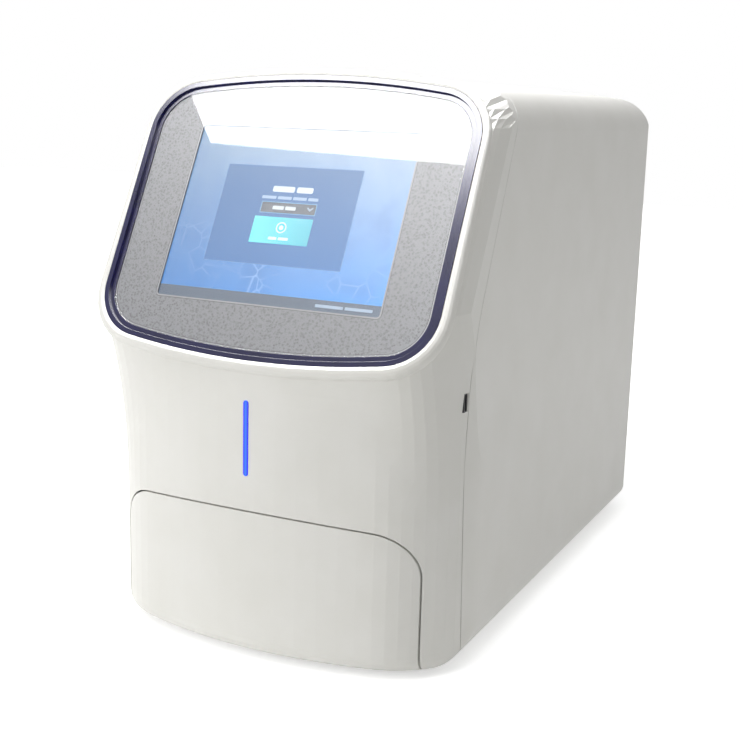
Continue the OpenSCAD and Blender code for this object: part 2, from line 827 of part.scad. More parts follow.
boss_x = tray_half - 25;
module drawer_front() {
    color("#dadad5") {
        difference() {
            intersection() {
                front_skin(0, foot_h);
                section(0);
                drawer_prism(0, aperture_d);
            }
            front_skin(wall, floor_z);
        }
        for (x = [-boss_x, boss_x]) for (z = [tray_z + 16, tray_z + tray_h - 14]) {
            start = lower_y(x, z) + wall / 2;
            rod_y([x, start, z], tray_y - start, 6);
        }
        intersection() {
            front_skin(0, floor_z);
            section(wall);
            difference() {
                drawer_prism(0, 18);
                drawer_prism(-2.5, 20);
            }
        }
    }
}

seal_y = chamber_d / 2 + 4;
module drawer_tray() {
    color("#9a9ea1") difference() {
        union() {
            difference() {
                span([-tray_half, tray_y, tray_z], [tray_half, tray_rear, tray_z + tray_h]);
                span([-tray_half + tray_t, tray_y + tray_t, tray_z + tray_t],
                    [tray_half - tray_t, tray_rear - tray_t, tray_z + tray_h + 1]);
            }
            for (s = [-1, 1]) span([-tray_half + eps, axis_y + s * seal_y - tray_t / 2, tray_z + eps],
                [tray_half - eps, axis_y + s * seal_y + tray_t / 2, tray_z + tray_h]);
        }
        for (x = [-boss_x, boss_x]) for (z = [tray_z + 16, tray_z + tray_h - 14])
            rod_y([x, tray_y - 1, z], 5, 1.6);
    }
}

seal_w = 4;
seal_h = chamber_z - tray_z - tray_h - fit;
module drawer_seal() {
    color("#1b1b1c") translate([0, axis_y, tray_z + tray_h]) linear_extrude(seal_h) difference() {
        square([tray_w, 2 * seal_y + seal_w], center = true);
        square([tray_w - 2 * seal_w, 2 * seal_y - seal_w], center = true);
    }
}

// Rack under the tray, with a gap over the pinion's top tooth
function rack_tooth(y) = [[y - 1.42 * gear_m + 0.5, 1.25 * gear_m], [y - 0.72 * gear_m, 0],
    [y - 0.4 * gear_m, -0.9 * gear_m], [y + 0.4 * gear_m, -0.9 * gear_m],
    [y + 0.72 * gear_m, 0], [y + 1.42 * gear_m - 0.5, 1.25 * gear_m]];
module drawer_rack() {
    step = PI * gear_m;
    first = -ceil((pinion_y - tray_y - 4) / step) + 1;
    color("#e4e2da") rotate([90, 0, 90]) translate([0, rack_z, pinion_x - gear_w / 2]) linear_extrude(gear_w)
        polygon(concat([[pinion_y + (first + 0.5) * step - 2, rack_t], [pinion_y + (first + 0.5) * step - 2, 1.25 * gear_m]],
            [for (k = [first:first + rack_teeth - 3]) each rack_tooth(pinion_y + (k + 0.5) * step)],
            [[pinion_y + (first + rack_teeth - 2.5) * step + 2, 1.25 * gear_m],
            [pinion_y + (first + rack_teeth - 2.5) * step + 2, rack_t]]));
}

module drive_pinion() {
    color("#c9a24a") {
        translate([pinion_x - gear_w / 2, pinion_y, pinion_z]) rotate([90, 0, 90])
            linear_extrude(gear_w) gear_shape(pinion_teeth, gear_m, 90);
        rod_x([pinion_x, pinion_y, pinion_z], gear_w / 2 + 12, 2.5);
    }
}

module drive_motor() {
    color("#4a4d50") difference() {
        union() {
            rod_x([motor_x, pinion_y, pinion_z], motor_l, motor_r);
            rod_x([motor_x - 3, pinion_y, pinion_z], 4, 6);
            rod_x([motor_x + motor_l - 1, pinion_y, pinion_z], 5, 4);
        }
        rod_x([motor_x - 4, pinion_y, pinion_z], 14, 2.5 + run_fit);
    }
}

// Telescopic slide: channels nested in each other, all measured from the frame inwards
module slide_channel(side, web, lip, half, from, to) {
    color("#aeb3b6") on_side(side) {
        span([frame_x - max(web[0], web[1]), from, slide_z - half], [frame_x - min(web[0], web[1]), to, slide_z + half]);
        for (s = [0, 1]) translate([0, 0, slide_z]) mirror([0, 0, s])
            span([frame_x - max(lip, web[1]), from, half - slide_t], [frame_x - min(lip, web[0]), to, half]);
    }
}
middle_half = slide_half - slide_t - slide_fit;
inner_half = middle_half - slide_t - slide_fit;
middle_q = slide_t + slide_fit;
module slide_outer(side) { slide_channel(side, [0, slide_t], slide_depth - 2.4, slide_half, slide_y, slide_y + slide_l); }
module slide_middle(side) {
    slide_channel(side, [middle_q, middle_q + slide_t], slide_depth - 2.4, middle_half, slide_y, slide_y + slide_l);
}
module slide_inner(side) {
    slide_channel(side, [slide_depth - slide_t, slide_depth], middle_q + slide_t + slide_fit, inner_half, slide_y, tray_rear);
}
module slide_inner_left() { slide_inner(-1); }
module slide_inner_right() { slide_inner(1); }
module slide_middle_left() { slide_middle(-1); }
module slide_middle_right() { slide_middle(1); }
module slide_outer_left() { slide_outer(-1); }
module slide_outer_right() { slide_outer(1); }

// ---------- Sample stage ----------

module turntable_bearing() {
    color("#c4c8ca") translate([0, axis_y, bearing_z]) difference() {
        union() {
            cylinder(h = bearing_h, r = journal_r + 8);
            cylinder(h = 3, r = journal_r + 14);
        }
        translate([0, 0, -1]) cylinder(h = bearing_h + 2, r = journal_r + run_fit);
    }
}

module turntable() {
    color("#b2b6b8") translate([0, axis_y, 0]) {
        translate([0, 0, bearing_z + 0.5]) cylinder(h = turntable_z - bearing_z - 0.5, r = journal_r);
        translate([0, 0, turntable_z]) linear_extrude(turntable_t) round_rect(stage_w - 16, stage_d - 16, 10);
    }
}

module stage_box() {
    ledge = box_top - sample_t;
    low_ledge = ledge - 6;
    floor_top = box_z + 2;
    color("#232527") translate([0, axis_y, 0]) difference() {
        translate([0, 0, box_z]) linear_extrude(box_top - box_z) round_rect(stage_w, stage_d, 6);
        translate([0, 0, floor_top]) linear_extrude(box_top)
            round_rect(stage_w - 2 * box_wall - 2 * glass_lip, stage_d - 2 * box_wall - 2 * glass_lip, 4);
        translate([0, 0, low_ledge - diffuser_t]) linear_extrude(box_top)
            round_rect(stage_w - 2 * box_wall - glass_lip, stage_d - 2 * box_wall - glass_lip, 4);
        translate([0, 0, ledge]) linear_extrude(box_top)
            round_rect(stage_w - 2 * box_wall, stage_d - 2 * box_wall, 4);
    }
}

module stage_lamp_board() {
    w = stage_w - 2 * box_wall - 2 * glass_lip - 2;
    d = stage_d - 2 * box_wall - 2 * glass_lip - 2;
    color("#e9ece6") translate([0, axis_y, box_z + 2]) {
        linear_extrude(board_t) square([w, d], center = true);
        for (i = [-4:4]) for (j = [-3:3])
            translate([i * w / 9.5, j * d / 7.5, board_t]) linear_extrude(1) square(3.5, center = true);
    }
}

module stage_diffuser() {
    color("#f2f4f5") translate([0, axis_y, box_top - sample_t - 6 - diffuser_t]) linear_extrude(diffuser_t)
        round_rect(stage_w - 2 * box_wall - glass_lip - fit, stage_d - 2 * box_wall - glass_lip - fit, 4);
}

module sample_glass() {
    color("#9fb6c9", 0.5) translate([0, axis_y, box_top - sample_t]) linear_extrude(sample_t)
        round_rect(stage_w - 2 * box_wall - fit, stage_d - 2 * box_wall - fit, 4);
}

// ---------- Dark chamber ----------

// Square funnel between two levels
module funnel(half_low, depth_low, z_low, half_high, z_high) {
    polyhedron(
        points = [[-half_low, -depth_low, z_low], [half_low, -depth_low, z_low],
            [half_low, depth_low, z_low], [-half_low, depth_low, z_low],
            [-half_high, -half_high, z_high], [half_high, -half_high, z_high],
            [half_high, half_high, z_high], [-half_high, half_high, z_high]],
        faces = [[0, 1, 2, 3], [7, 6, 5, 4], [0, 4, 5, 1], [1, 5, 6, 2], [2, 6, 7, 3], [3, 7, 4, 0]]);
}

module chamber_solid(inset, low, high) {
    half = chamber_half - inset;
    depth = chamber_d / 2 - inset;
    neck = neck_half - inset;
    span([-half, -depth, low], [half, depth, chamber_bend]);
    funnel(half, depth, chamber_bend, neck, shelf_z - 26);
    span([-neck, -neck, shelf_z - 26], [neck, neck, high]);
}

module dark_chamber() {
    color("#141516") translate([0, axis_y, 0]) difference() {
        union() {
            chamber_solid(0, chamber_z, shelf_z);
            span([-frame_x, -chamber_d / 2 - 8, chamber_z], [frame_x, chamber_d / 2 + 8, chamber_z + chamber_t]);
        }
        chamber_solid(chamber_t, chamber_z - 1, shelf_z + 1);
    }
}

module epi_lamp(side) {
    outer = chamber_half - chamber_t;
    z = chamber_bend - 24;
    color("#e6e8ea") on_side(side) translate([0, axis_y + 78, 0]) rotate([90, 0, 0]) linear_extrude(156)
        polygon([[outer, z], [outer, z + 20], [outer - 14, z + 20], [outer - 14, z + 13], [outer - 4, z]]);
}
module epi_lamp_left() { epi_lamp(-1); }
module epi_lamp_right() { epi_lamp(1); }

// ---------- Camera and filter wheel ----------

post_x = wheel_r + wheel_m + 4;
module camera_bracket() {
    half = camera_w / 2;
    color("#a3a7a9") difference() {
        union() {
            span([-post_x - 3, axis_y - 36, plate_z], [post_x + 3, axis_y + 36, camera_z]);
            for (s = [0, 1]) mirror([s, 0, 0]) {
                span([post_x, axis_y - 30, shelf_z + shelf_t], [post_x + 3, axis_y + 30, plate_z]);
                span([post_x, axis_y - 30, shelf_z + shelf_t], [post_x + 16, axis_y + 30, shelf_z + shelf_t + 2]);
            }
        }
        translate([0, axis_y, plate_z - 1]) cylinder(h = 6, r = lens_r - 8);
    }
}

module camera_housing() {
    color("#2f3336") translate([0, axis_y, camera_z]) difference() {
        linear_extrude(camera_h) round_rect(camera_w, camera_w, 6);
        for (z = [12:8:camera_h - 10]) translate([0, 0, z]) linear_extrude(3) difference() {
            square(camera_w + 2, center = true);
            square(camera_w - 4, center = true);
        }
        translate([0, 0, -1]) cylinder(h = 13, r = lens_r - 8);
    }
}

module camera_heat_sink() {
    w = camera_w - 6;
    color("#8d9194") translate([0, axis_y, sink_z]) {
        translate([-w / 2, -w / 2, 0]) cube([w, w, 3]);
        for (i = [-6:6]) if (abs(i) > 0) translate([i * w / 13.5 - 0.8, -w / 2, 3]) cube([1.6, w, sink_h - 3]);
        translate([0, 0, 3]) cylinder(h = sink_h - 3, r = 5);
        translate([0, 0, sink_h]) cylinder(h = 6, r = 2);
    }
}

// Tilted fan blades on a hub with a blind bore
module fan_blades(count, hub, tip, height, bore) {
    margin = 0.5;
    root_depth = 1.5;
    for (k = [0:count - 1]) rotate([0, 0, 360 * k / count]) intersection() {
        translate([hub - root_depth, 0, height / 2]) rotate([36, 0, 0])
            translate([0, -height, -0.8]) cube([2 * tip, 2 * height, 1.6]);
        translate([0, 0, margin]) cylinder(h = height - 2 * margin, r = tip);
        translate([0, -tip, 0]) cube([2 * tip, 2 * tip, height]);
    }
    difference() {
        cylinder(h = height, r = hub);
        translate([0, 0, -1]) cylinder(h = height - 1, r = bore);
    }
}

module camera_fan_rotor() {
    color("#1e2022") translate([0, axis_y, sink_z + sink_h + fit]) fan_blades(5, 9, camera_fan_r, 8, 2 + run_fit);
}

ring_z = lens_z + 12;
module lens_barrel() {
    color("#1a1b1d") translate([0, axis_y, 0]) difference() {
        union() {
            translate([0, 0, lens_z]) cylinder(h = lens_l, r = lens_r - 3);
            translate([0, 0, ring_z - 3]) cylinder(h = lens_l - 9, r = lens_r);
            translate([0, 0, ring_z - 3]) cylinder(h = 2.8, r = lens_r + 3);
        }
        translate([0, 0, lens_z - 1]) cylinder(h = 5, r = lens_r - 6);
    }
}

module focus_ring() {
    color("#3a3c3f") translate([0, axis_y, ring_z]) difference() {
        cylinder(h = 12, r = lens_r + 6);
        translate([0, 0, -1]) cylinder(h = 14, r = lens_r + run_fit);
        for (k = [0:29]) rotate([0, 0, 12 * k]) translate([lens_r + 5.4, -1, 2]) cube([2, 2, 8]);
    }
}

axle_r = 4;
module filter_places() {
    for (k = [0:filter_count - 1]) rotate([0, 0, -90 + 360 * k / filter_count]) translate([wheel_pitch, 0, 0])
        children();
}

module filter_wheel() {
    color("#33363a") translate([0, wheel_y, wheel_z]) difference() {
        linear_extrude(wheel_t) gear_shape(wheel_teeth, wheel_m, 90);
        translate([0, 0, -1]) cylinder(h = wheel_t + 2, r = axle_r + run_fit);
        filter_places() {
            translate([0, 0, 2]) cylinder(h = wheel_t, r = filter_r + fit / 3);
            translate([0, 0, -1]) cylinder(h = wheel_t, r = filter_r - 1.5);
        }
    }
}

module filters() {
    color("#a03030", 0.6) translate([0, wheel_y, wheel_z + 2]) filter_places() cylinder(h = 3, r = filter_r);
}

module filter_axle() {
    color("#c0c4c6") translate([0, wheel_y, shelf_z + shelf_t]) {
        cylinder(h = wheel_z - shelf_z - shelf_t - fit, r = 9);
        cylinder(h = wheel_z + wheel_t - shelf_z, r = axle_r);
    }
}

module filter_pinion() {
    color("#d8d6cc") translate([0, filter_gear_y, 0]) {
        translate([0, 0, wheel_z]) linear_extrude(wheel_t) gear_shape(filter_gear_teeth, wheel_m,
            -90 + 180 / filter_gear_teeth);
        translate([0, 0, shelf_z - 8]) cylinder(h = wheel_z - shelf_z + 8, r = 2.5);
    }
}

module filter_motor() {
    color("#4a4d50") translate([0, filter_gear_y, 0]) difference() {
        union() {
            translate([0, 0, shelf_z - 30]) cylinder(h = 30, r = 14);
            translate([0, 0, shelf_z - 1]) cylinder(h = 3.5, r = 5.5);
        }
        translate([0, 0, shelf_z - 10]) cylinder(h = 15, r = 2.5 + run_fit);
    }
}

// ---------- Electronics and rear ----------

module main_board() {
    x = -frame_x + 6;
    color("#1f6b46") {
        for (y = [80, 240]) for (z = [165, 315]) rod_x([-frame_x, y, z], 6, 3);
        span([x, 68, 150], [x + board_t, 252, 330]);
        span([x + board_t, 100, 220], [x + board_t + 3, 136, 256]);
        span([x + board_t, 160, 200], [x + board_t + 2, 180, 212]);
        span([x + board_t, 190, 250], [x + board_t + 12, 240, 262]);
        span([x + board_t, 90, 290], [x + board_t + 6, 150, 300]);
        for (i = [0:3]) rod_x([x + board_t, 170 + 14 * i, 180], 12, 5);
    }
    color("#8d9194") for (i = [0:6]) span([x + board_t + 3, 101 + 5 * i, 222], [x + board_t + 15, 102.5 + 5 * i, 254]);
}

module power_supply() {
    low = [-frame_x + 22, rear_y - 30 - supply_l, pan_top];
    color("#b9bdbf") difference() {
        translate(low) cube([96, supply_l, 56]);
        for (i = [0:8]) translate(low + [12 + i * 9, 20, 54]) cube([4, 60, 3]);
        for (i = [0:5]) translate(low + [94, 30 + i * 12, 12]) cube([3, 4, 34]);
    }
}

module rear_cut(x, z, w, h) {
    span([x - w / 2, panel_y - 1, z - h / 2], [x + w / 2, panel_y + sheet + 1, z + h / 2]);
}

jack_w = 16;
jack_h = 14;
jack_z = inlet_z;
port_w = 14;
port_h = 7;
port_x = socket_x + 26;

module rear_panel() {
    color("#bfc2c3") difference() {
        span([-panel_w / 2, panel_y, panel_low], [panel_w / 2, panel_y + sheet, panel_high]);
        rod_y([fan_x, panel_y - 1, fan_z], 5, fan_w / 2 - 5);
        rear_cut(inlet_x, inlet_z, inlet_w + fit, inlet_h + fit);
        rear_cut(switch_x, inlet_z, switch_w + fit, switch_h + fit);
        rear_cut(socket_x, jack_z, jack_w + fit, jack_h + fit);
        for (z = [-6, 6]) rear_cut(port_x, jack_z + z, port_w + fit, port_h + fit);
        for (x = [-100, -48]) for (z = [fan_z - 60:9:fan_z + 36]) rear_cut(x, z, 44, 3);
        for (x = [-92:46:92]) for (z = [inlet_z + 50:9:inlet_z + 90]) rear_cut(x, z, 38, 3);
    }
}

module rear_screws() {
    color("#c6c9cb") {
        for (x = [-panel_w / 2 + 18, 0, panel_w / 2 - 18]) for (z = [panel_low + 16, panel_high - 16])
            rod_y([x, panel_y + sheet, z], 2, 3.5);
        for (z = [panel_low + 130, panel_low + 230]) for (s = [-1, 1])
            rod_y([s * (panel_w / 2 - 18), panel_y + sheet, z], 2, 3.5);
    }
}

fan_hub = 18;
module rear_fan_frame() {
    color("#202224") translate([fan_x, panel_y, fan_z]) rotate([90, 0, 0]) {
        difference() {
            linear_extrude(fan_d) round_rect(fan_w, fan_w, 5);
            translate([0, 0, -1]) cylinder(h = fan_d + 2, r = fan_w / 2 - 3);
            for (x = [-1, 1]) for (y = [-1, 1]) translate([x, y, 0] * (fan_w / 2 - 6) - [0, 0, 1])
                cylinder(h = fan_d + 2, r = 2);
        }
        translate([0, 0, fan_d - 3]) cylinder(h = 3, r = fan_hub);
        translate([0, 0, 5]) cylinder(h = fan_d - 5, r = 2);
        for (k = [0:2]) rotate([0, 0, 30 + 120 * k]) translate([fan_hub - 2, -3, fan_d - 3])
            cube([fan_w / 2 - fan_hub, 6, 3]);
    }
}

module rear_fan_rotor() {
    color("#2c2f32") translate([fan_x, panel_y - 3, fan_z]) rotate([90, 0, 0])
        mirror([0, 0, 1]) translate([0, 0, -(fan_d - 6 - fit)])
            fan_blades(fan_blades, fan_hub, fan_w / 2 - 4.5, fan_d - 6 - fit, 2 + run_fit);
}

module rear_fan_guard() {
    reach = fan_w / 2 - 4;
    color("#d0d3d4") translate([fan_x, panel_y + sheet, fan_z]) rotate([-90, 0, 0]) {
        for (r = [10:8:reach]) difference() {
            cylinder(h = 1.6, r = r);
            translate([0, 0, -1]) cylinder(h = 4, r = r - 1.6);
        }
        for (k = [0:3]) rotate([0, 0, 45 + 90 * k]) {
            translate([8, -0.9, 0]) cube([reach * 1.41 - 14, 1.8, 1.6]);
            translate([(fan_w / 2 - 6) * sqrt(2), 0, 0]) cylinder(h = 1.6, r = 5);
        }
    }
}

module mains_inlet() {
    back = panel_y - 20;
    face = panel_y + sheet + 1.2;
    color("#1c1d1f") difference() {
        union() {
            span([inlet_x - inlet_w / 2, back, inlet_z - inlet_h / 2], [inlet_x + inlet_w / 2, face, inlet_z + inlet_h / 2]);
            span([inlet_x - inlet_w / 2 - 4, panel_y + sheet, inlet_z - inlet_h / 2 - 3],
                [inlet_x + inlet_w / 2 + 4, face, inlet_z + inlet_h / 2 + 3]);
        }
        span([inlet_x - inlet_w / 2 + 2, back + 3, inlet_z - inlet_h / 2 + 2],
            [inlet_x + inlet_w / 2 - 2, face + 1, inlet_z + inlet_h / 2 - 2]);
    }
    color("#c9a24a") for (p = [[-7, -2], [0, 3], [7, -2]])
        span([inlet_x + p[0] - 1, back + 2, inlet_z + p[1] - 2.5], [inlet_x + p[0] + 1, back + 14, inlet_z + p[1] + 2.5]);
}

rocker_y = panel_y + sheet - 6;
rocker_r = switch_h / 2 - 2 - fit;
module switch_housing() {
    back = panel_y - 14;
    face = panel_y + sheet + 1.2;
    color("#1c1d1f") difference() {
        union() {
            span([switch_x - switch_w / 2, back, inlet_z - switch_h / 2], [switch_x + switch_w / 2, face, inlet_z + switch_h / 2]);
            span([switch_x - switch_w / 2 - 2, panel_y + sheet, inlet_z - switch_h / 2 - 2],
                [switch_x + switch_w / 2 + 2, face, inlet_z + switch_h / 2 + 2]);
        }
        span([switch_x - switch_w / 2 + 1.5, back + 2, inlet_z - switch_h / 2 + 2],
            [switch_x + switch_w / 2 - 1.5, face + 1, inlet_z + switch_h / 2 - 2]);
        rod_x([switch_x - switch_w / 2 + 0.4, rocker_y, inlet_z], switch_w - 0.8, 1.5 + run_fit);
    }
}

rocker_tilt = 9;
module switch_rocker() {
    half = switch_w / 2 - 1.5 - fit;
    color("#111214") translate([switch_x, rocker_y, inlet_z]) rotate([rocker_tilt, 0, 0]) {
        rotate([90, 0, 90]) translate([0, 0, -half]) linear_extrude(2 * half) intersection() {
            circle(r = rocker_r);
            polygon([[-4, -rocker_r], [5.6, -rocker_r], [4.4, 0], [5.6, rocker_r], [-4, rocker_r]]);
        }
        rod_x([-half - 0.9, 0, 0], 2 * half + 1.8, 1.5);
    }
}

module data_sockets() {
    back = panel_y - 18;
    face = panel_y + sheet + 0.8;
    color("#8f9496") {
        difference() {
            span([socket_x - jack_w / 2, back, jack_z - jack_h / 2], [socket_x + jack_w / 2, face, jack_z + jack_h / 2]);
            span([socket_x - jack_w / 2 + 2, back + 4, jack_z - jack_h / 2 + 2],
                [socket_x + jack_w / 2 - 2, face + 1, jack_z + jack_h / 2 - 3]);
        }
        for (z = [-6, 6]) difference() {
            span([port_x - port_w / 2, back, jack_z + z - port_h / 2], [port_x + port_w / 2, face, jack_z + z + port_h / 2]);
            span([port_x - port_w / 2 + 0.8, back + 6, jack_z + z - port_h / 2 + 0.8],
                [port_x + port_w / 2 - 0.8, face + 1, jack_z + z + port_h / 2 - 0.8]);
        }
        span([socket_x - jack_w / 2, back - board_t, jack_z - 14], [port_x + port_w / 2, back, jack_z + 14]);
    }
}

front_cover();
main_cover();
base_pan();
rubber_feet();
foot_screws();
side_frame_left();
side_frame_right();
camera_shelf();
display_ring();
display_glass();
display_bezel();
screen_panel();
screen_bracket();
screen_board();
light_bar_lens();
light_bar_board();
side_socket();
drawer_front();
drawer_tray();
drawer_seal();
drawer_rack();
slide_inner_left();
slide_inner_right();
slide_middle_left();
slide_middle_right();
slide_outer_left();
slide_outer_right();
drive_pinion();
drive_motor();
turntable_bearing();
turntable();
stage_lamp_board();
stage_box();
stage_diffuser();
sample_glass();
dark_chamber();
epi_lamp_left();
epi_lamp_right();
camera_bracket();
camera_housing();
camera_heat_sink();
camera_fan_rotor();
lens_barrel();
focus_ring();
filter_wheel();
filters();
filter_axle();
filter_pinion();
filter_motor();
main_board();
power_supply();
rear_panel();
rear_screws();
rear_fan_frame();
rear_fan_rotor();
rear_fan_guard();
mains_inlet();
switch_housing();
switch_rocker();
data_sockets();
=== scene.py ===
# %% [markdown]
# # A bench imager for gels and blots
# The imported mechanical model is loaded first and stays as it is. Every cover, sheet and gear in it
# is a node of its own, so most of this lesson gives those nodes real finishes. The pieces that are
# ground, printed or lit rather than machined, such as the cover glass and the picture on the
# screen, are then drawn one by one.

# %% Load the frame
import json
import math
import bmesh
import bpy
from mathutils import Matrix, Vector


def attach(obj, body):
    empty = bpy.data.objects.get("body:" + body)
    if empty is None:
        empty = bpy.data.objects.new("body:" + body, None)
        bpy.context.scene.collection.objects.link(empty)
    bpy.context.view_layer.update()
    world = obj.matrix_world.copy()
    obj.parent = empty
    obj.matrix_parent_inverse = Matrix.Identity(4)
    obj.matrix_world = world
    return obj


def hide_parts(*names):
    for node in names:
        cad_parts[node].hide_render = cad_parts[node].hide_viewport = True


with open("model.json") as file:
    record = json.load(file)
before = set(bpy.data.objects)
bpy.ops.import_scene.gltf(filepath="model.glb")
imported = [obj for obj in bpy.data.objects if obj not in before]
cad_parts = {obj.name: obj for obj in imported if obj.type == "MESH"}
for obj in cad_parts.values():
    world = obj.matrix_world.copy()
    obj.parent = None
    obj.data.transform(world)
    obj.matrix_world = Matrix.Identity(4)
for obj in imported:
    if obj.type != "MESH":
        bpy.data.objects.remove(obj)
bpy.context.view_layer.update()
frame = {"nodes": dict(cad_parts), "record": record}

NODES = frame["nodes"]

# %% [markdown]
# ## Camera
# A product shot is taken from the front right and a little above, with a long lens so that upright
# edges stay nearly parallel. The direction is given as angles round the object, which is easier to
# adjust than a rotation matrix: the camera's back, right and up vectors follow from them.

# %% Camera
LENS_PX = 1211.061          # focal length in pixels of the frame
FRAME_PX = 743
CAMERA_AT = (0.567107, -1.208205, 0.505325)
AZIMUTH, ELEVATION, ROLL = (math.radians(a) for a in (24.836, 11.826, 1.795))
LENS_SHIFT = (-0.04479, -0.00922)       # shares of the frame's width
back = Vector((math.sin(AZIMUTH) * math.cos(ELEVATION), -math.cos(AZIMUTH) * math.cos(ELEVATION),
               math.sin(ELEVATION)))
level = Vector((math.cos(AZIMUTH), math.sin(AZIMUTH), 0))
rise = back.cross(level)
right = level * math.cos(ROLL) + rise * math.sin(ROLL)
up = rise * math.cos(ROLL) - level * math.sin(ROLL)
lens = bpy.data.cameras.new("studio_camera")
lens.lens = LENS_PX / FRAME_PX * lens.sensor_width
lens.shift_x, lens.shift_y = LENS_SHIFT
camera = bpy.data.objects.new("studio_camera", lens)
camera.matrix_world = Matrix.Translation(CAMERA_AT) @ Matrix((right, up, back)).transposed().to_4x4()
bpy.context.scene.collection.objects.link(camera)
bpy.context.scene.camera = camera
print("lens", round(lens.lens, 2), "mm")

# %% [markdown]
# ## Colours and nodes
# Colours are written as sRGB hex values, as a colour picker shows them, and one function turns them
# to the linear values that a shader works with. A second small function adds a node with its
# settings and its links, so that each finish below reads as a short recipe.

# %% Colours and nodes
MM = 0.001
PER_METRE = 1000            # over a size in millimetres, this is a pattern's scale

def linear(text):
    """sRGB hex to linear red, green and blue, with an alpha of one."""
    parts = [int(text[i:i + 2], 16) / 255 for i in (1, 3, 5)]
    return tuple(c / 12.92 if c <= 0.04045 else ((c + 0.055) / 1.055) ** 2.4 for c in parts) + (1.0,)

def add(tree, kind, settings=None, links=None):
    """Adds a node: settings by property or input name, links by input name."""
    node = tree.nodes.new(kind)
    for key, value in (settings or {}).items():
        if isinstance(key, str) and key in node.bl_rna.properties:
            setattr(node, key, value)
        else:
            node.inputs[key].default_value = value
    for key, source in (links or {}).items():
        tree.links.new(source, node.inputs[key])
    return node

def new_finish(name, **sockets):
    """A material with one Principled shader, whose constant sockets are set by name."""
    material = bpy.data.materials.new(name)
    material.use_nodes = True
    tree = material.node_tree
    tree.nodes.clear()
    shader = add(tree, "ShaderNodeBsdfPrincipled", {k.replace("_", " "): v for k, v in sockets.items()})
    add(tree, "ShaderNodeOutputMaterial", links={"Surface": shader.outputs[0]})
    return material, tree, shader

# %% [markdown]
# ## One recipe for moulded, painted and metal surfaces
# Real surfaces are never one flat colour. The recipe mixes two near colours with a slow noise,
# raises a fine grain with a second noise, and lets the same grain vary the gloss. Sharp corners
# catch light on a thin round, which the Bevel node draws. Brushed metal uses the same recipe with
# the pattern squeezed along one axis, so the grain becomes long scratches.

# %% The surface recipe
def place(tree, stretch=(1, 1, 1)):
    """Coordinates in metres from the object's origin, squeezed along an axis for brushed grain."""
    where = add(tree, "ShaderNodeTexCoord")
    return add(tree, "ShaderNodeMapping", {"Scale": stretch},
               {"Vector": where.outputs["Object"]}).outputs[0]

def noise(tree, where, size_mm, detail):
    """A soft random pattern whose features have a given size."""
    return add(tree, "ShaderNodeTexNoise", {"Scale": PER_METRE / size_mm, "Detail": detail},
               {"Vector": where}).outputs["Fac"]

def spread(tree, value, low, high, out_low=0.0, out_high=1.0):
    """Maps a range of a value to another range."""
    return add(tree, "ShaderNodeMapRange", {"From Min": low, "From Max": high, "To Min": out_low,
                                            "To Max": out_high}, {"Value": value}).outputs[0]

NOISE_LOW, NOISE_HIGH = 0.3, 0.7        # nearly all values of a noise lie between these

def shades(tree, factor, dark, light, low=NOISE_LOW, high=NOISE_HIGH):
    """Spreads a pattern between two hex colours."""
    mix = add(tree, "ShaderNodeMix", {"data_type": "RGBA", 6: linear(dark), 7: linear(light)},
              {0: spread(tree, factor, low, high)})
    return mix.outputs[2]

def grained(name, dark, light, patch_mm, grain_mm, depth_mm, rough, stretch=(1, 1, 1),
            round_mm=0.4, **sockets):
    """A finish with slow colour drift, a fine raised grain, uneven gloss and rounded corners."""
    material, tree, shader = new_finish(name, **sockets)
    where = place(tree, stretch)
    drift = noise(tree, where, patch_mm, 3.0)
    grain = noise(tree, where, grain_mm, 2.0)
    gloss = spread(tree, grain, NOISE_LOW, NOISE_HIGH, *rough)
    edge = add(tree, "ShaderNodeBevel", {"samples": 4, "Radius": round_mm * MM})
    bump = add(tree, "ShaderNodeBump", {"Strength": 1.0, "Distance": depth_mm * MM},
               {"Height": grain, "Normal": edge.outputs[0]})
    tree.links.new(shades(tree, drift, dark, light), shader.inputs["Base Color"])
    tree.links.new(gloss, shader.inputs["Roughness"])
    tree.links.new(bump.outputs[0], shader.inputs["Normal"])
    return material

# %% [markdown]
# ## Casing finishes
# The covers are foamed polyurethane, moulded and then sprayed a warm white. Spray leaves a fine
# orange peel of about half a millimetre, so highlights are soft and slightly broken. The chassis
# is powder coated, which is rougher, and the small parts are moulded plastic or rubber.

# %% Casing finishes
F = {}
# satin spray: a wide soft highlight over a warm white
F["cover"] = grained("sprayed_polyurethane_moulding", "#d9d8d2", "#dddcd7", 60, 0.7, 0.02, (0.4, 0.5))
# baked powder: dull and faintly pebbled
F["pan"] = grained("grey_powder_coated_steel", "#7b7e80", "#85888a", 40, 0.5, 0.05, (0.45, 0.6))
F["panel_paint"] = grained("light_grey_powder_coated_steel", "#b9bbba", "#c3c5c3", 40, 0.5, 0.05,
                           (0.4, 0.55))
# a polished mould gives the ring a deep gloss and bright lines along its rounded edges
F["ring"] = grained("gloss_navy_abs_moulding", "#0c0b3a", "#111047", 30, 0.5, 0.003, (0.16, 0.22),
                    round_mm=0.5, Coat_Weight=0.05, Coat_Roughness=0.08)
# rubber scatters light, so it stays dark and flat
F["foot_rubber"] = grained("moulded_black_rubber", "#1c1d1e", "#2a2b2c", 8, 0.5, 0.05, (0.7, 0.9))
# eroded mould texture: a weak sheen only
F["socket_plastic"] = grained("black_polyamide_moulding", "#141516", "#1d1e20", 10, 0.4, 0.02,
                              (0.35, 0.5))
# a switch is polished, for a small sharp glint
F["switch_black"] = grained("gloss_black_nylon_moulding", "#0e0f10", "#17181a", 10, 0.4, 0.01,
                            (0.2, 0.32))
# glass fibre lies in the skin and dulls the blades
F["rotor"] = grained("glass_filled_black_nylon", "#191a1c", "#242628", 8, 0.4, 0.03, (0.4, 0.55))
print("casing finishes", len(F))

